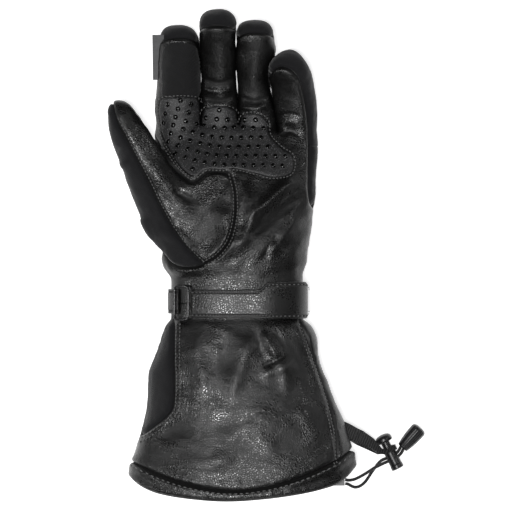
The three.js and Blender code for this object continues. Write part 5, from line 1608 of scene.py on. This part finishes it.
def stitches(name, lines, pitch, seam, lift=0.3, length=0.8, width=STITCH_WIDTH):
    """Rows of short threads along lines on the palm side."""
    places, ways = [], []
    for line in lines:
        line = smooth_line(line, 0.4)
        far = np.concatenate([[0], np.cumsum(np.linalg.norm(np.diff(line, axis=0), axis=1))])
        at = np.arange(pitch / 2, far[-1], pitch)
        place = np.column_stack([np.interp(at, far, line[:, k]) for k in (0, 1)])
        ahead = np.column_stack([np.interp(at + 0.3, far, line[:, k]) for k in (0, 1)])
        places.append(place)
        ways.append(np.column_stack([ahead - place, np.zeros(len(at))]) + (1e-6, 0, 0))
    place = np.vstack(places)
    points, normals, keep = dressed(place[:, 0], place[:, 1], seam)
    points, normals = points[keep], normals[keep]
    repeated(name, STITCH_SHAPE, STITCH_FACES, points + normals * lift, np.vstack(ways)[keep], normals,
             (pitch * length / 2, width, STITCH_HEIGHT), THREAD)


def beside(line, gap):
    """A line moved sideways by a gap, to its left."""
    line = smooth_line(line, 2.0)
    step = np.gradient(line, axis=0)
    step /= np.linalg.norm(step, axis=1)[:, None]
    return line + gap * np.column_stack([-step[:, 1], step[:, 0]])


def band_stitches(name, start_x, end_x, rows, lift, pitch=2.3):
    """Rows of stitches along a wrist band: each row is a function of the share along it, giving Y."""
    places, ways, normals = [], [], []
    for row in rows:
        count = int(abs(end_x - start_x) * 1.2 / pitch)
        lifts = np.interp(np.linspace(0, 1, count), np.linspace(0, 1, np.size(lift)), np.atleast_1d(lift))
        path, slope = wrist_path(start_x, end_x, lifts, count)
        y = row(np.linspace(0, 1, count))
        centres = np.column_stack([path[:, 0], y, path[:, 1]])
        places.append(centres)
        ways.append(np.gradient(centres, axis=0))
        normals.append(np.column_stack([slope[:, 0], np.zeros(count), slope[:, 1]]))
    repeated(name, STITCH_SHAPE, STITCH_FACES, np.vstack(places), np.vstack(ways), np.vstack(normals),
             (pitch * 0.4, STITCH_WIDTH, STITCH_HEIGHT), THREAD)


def make_stitches():
    """Every visible row of stitching."""
    lift = strap_lift(300, 1.4)
    band_stitches("stitches_strap", STRAP_BAR + 2, STRAP_END - 3,
                  [lambda share: tab_high(share) - ROW_INSET, lambda share: tab_low(share) + ROW_INSET], lift)
    band_stitches("stitches_tab", 15, 27, [lambda share: 0.5 + 11.5 * share], 3.9)
    arc = on_hand(ARC_SEAM)
    stitches("stitches_arc", [beside(arc, 1.4), beside(arc, -1.4)], 2.5, 1.4)
    thumb = on_hand(THUMB_SEAM)[1:]
    stitches("stitches_thumb", [beside(thumb, 1.6)], 2.6, 1.6)
    stitches("stitches_web", [beside(on_hand(WEB_SEAM), -1.5)], 2.5, 1.5)
    side = on_cuff([(-0.284, 0.10)] + [row for row in SIDE_SEAM if 0.1 < row[1] < 0.8])
    stitches("stitches_side", [beside(side, 2.4), beside(side, 5.0)], 2.6, 3.7)
    gusset = on_cuff([row for row in GUSSET_SEAM if 0.09 < row[1] < 0.84])
    stitches("stitches_gusset", [beside(gusset, -1.3), beside(gusset, -3.3)], 2.6, 1.3)
    rows = np.asarray(HEM_ROWS)
    rows = rows[(rows[:, 0] > -0.5) & (rows[:, 0] < 0.52)]
    hem = np.column_stack([rows[:, 0] * HEM_WIDTH, -rows[:, 2] * CUFF_LENGTH])
    stitches("stitches_hem", [beside(hem, -1.8)], 4.0, 1.8, lift=BINDING_PROUD + 0.3,
             length=0.7, width=0.5)
    grip = smooth_line(on_hand(GRIP_OUTLINE + GRIP_OUTLINE[:1]), 2.0)
    stitches("stitches_patch", [beside(grip, 1.1)], 2.4, 6, lift=PATCH_THICKNESS)


# Grip patch with its dots, and the touch panel

def sheet_patch(name, outline, material, stands_for, thickness):
    """A raised sheet: the palm side's surface inside an outline, lifted, with rounded edges."""
    outline = smooth_line(np.vstack([outline, outline[:1]]), 1.5)[:-1]
    skin = Skin(palm_skin.points, palm_skin.triangles)
    inside, _ = skin.split(
        lambda p: np.where(slope_at(FIELD, p)[:, 2] > 0.0, inside_outline(outline, p), -9.0))
    normals = slope_at(FIELD, inside.points)
    height, crease = relief(inside.points, normals, np.full(len(inside.points), NO_SEAM))
    edge = np.clip(inside.seam / 1.2, 0, 1)
    rise = height * smoothstep(palm_gap(inside.points), 0, 4) + 0.15
    rise += thickness * np.sqrt(1 - (1 - edge) ** 2)
    outer = inside.points + normals * rise[:, None]
    points, triangles = shell_solid(outer, normals, inside.triangles, thickness + 0.7)
    make_piece(name, points, triangles, material, stands_for,
               attributes={"crease": np.concatenate([crease, crease])})
    return outline


def palm_gap(points):
    """Distance of points from the palm leather's edge, 9 mm at most."""
    return np.minimum(9.0, np.abs(palm_value(points)))


def make_dots(outline):
    """Glossy dots on a leaning lattice inside the patch: i steps across and j steps up, its rows sagging."""
    i, j = np.meshgrid(np.arange(-12, 24), np.arange(-20, 16))
    x = DOT_ORIGIN[0] + DOT_STEPS[0] * i + DOT_LEAN * j
    share = np.clip((x - DOT_ORIGIN[0]) / DOT_SAG_WIDTH, 0, 1)
    y = DOT_ORIGIN[1] - DOT_STEPS[1] * j + DOT_SAG * (1 - (1 - share) ** 2)
    place = from_photo(np.column_stack([x.ravel(), y.ravel()]))
    near = np.all((place > outline.min(axis=0)) & (place < outline.max(axis=0)), axis=1)
    place = place[near]
    place = place[inside_outline(outline, place) > DOT_MARGIN]
    points, normals, keep = dressed(place[:, 0], place[:, 1], NO_SEAM)
    points, normals = points[keep], normals[keep]
    ways = np.tile([1.0, 0, 0], (len(points), 1))
    repeated("grip_dots", DOT_SHAPE, DOT_FACES, points + normals * (PATCH_THICKNESS + 0.1), ways, normals,
             (DOT_RADIUS, DOT_RADIUS, DOT_HEIGHT), DOT)


grip_outline = sheet_patch("grip_sheet", on_hand(GRIP_OUTLINE), GRIP, ["grip_patch"],
                           PATCH_THICKNESS)
sheet_patch("touch_sheet", on_hand(TOUCH_OUTLINE), TOUCH, ["touch_panel"], 0.6)
make_dots(grip_outline)
make_stitches()


# The tether, side label and cord outlet keep their solids, with better materials

def dress_node(name, material):
    """Gives a kept solid its finished material."""
    node = bpy.data.objects[name] if name in bpy.data.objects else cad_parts[name]
    if not node.material_slots:
        node.data.materials.append(material)
    for slot in node.material_slots:
        slot.material = material


dress_node("tether", WEBBING)
dress_node("side_label", LABEL)
dress_node("cord_outlet", PLASTIC)
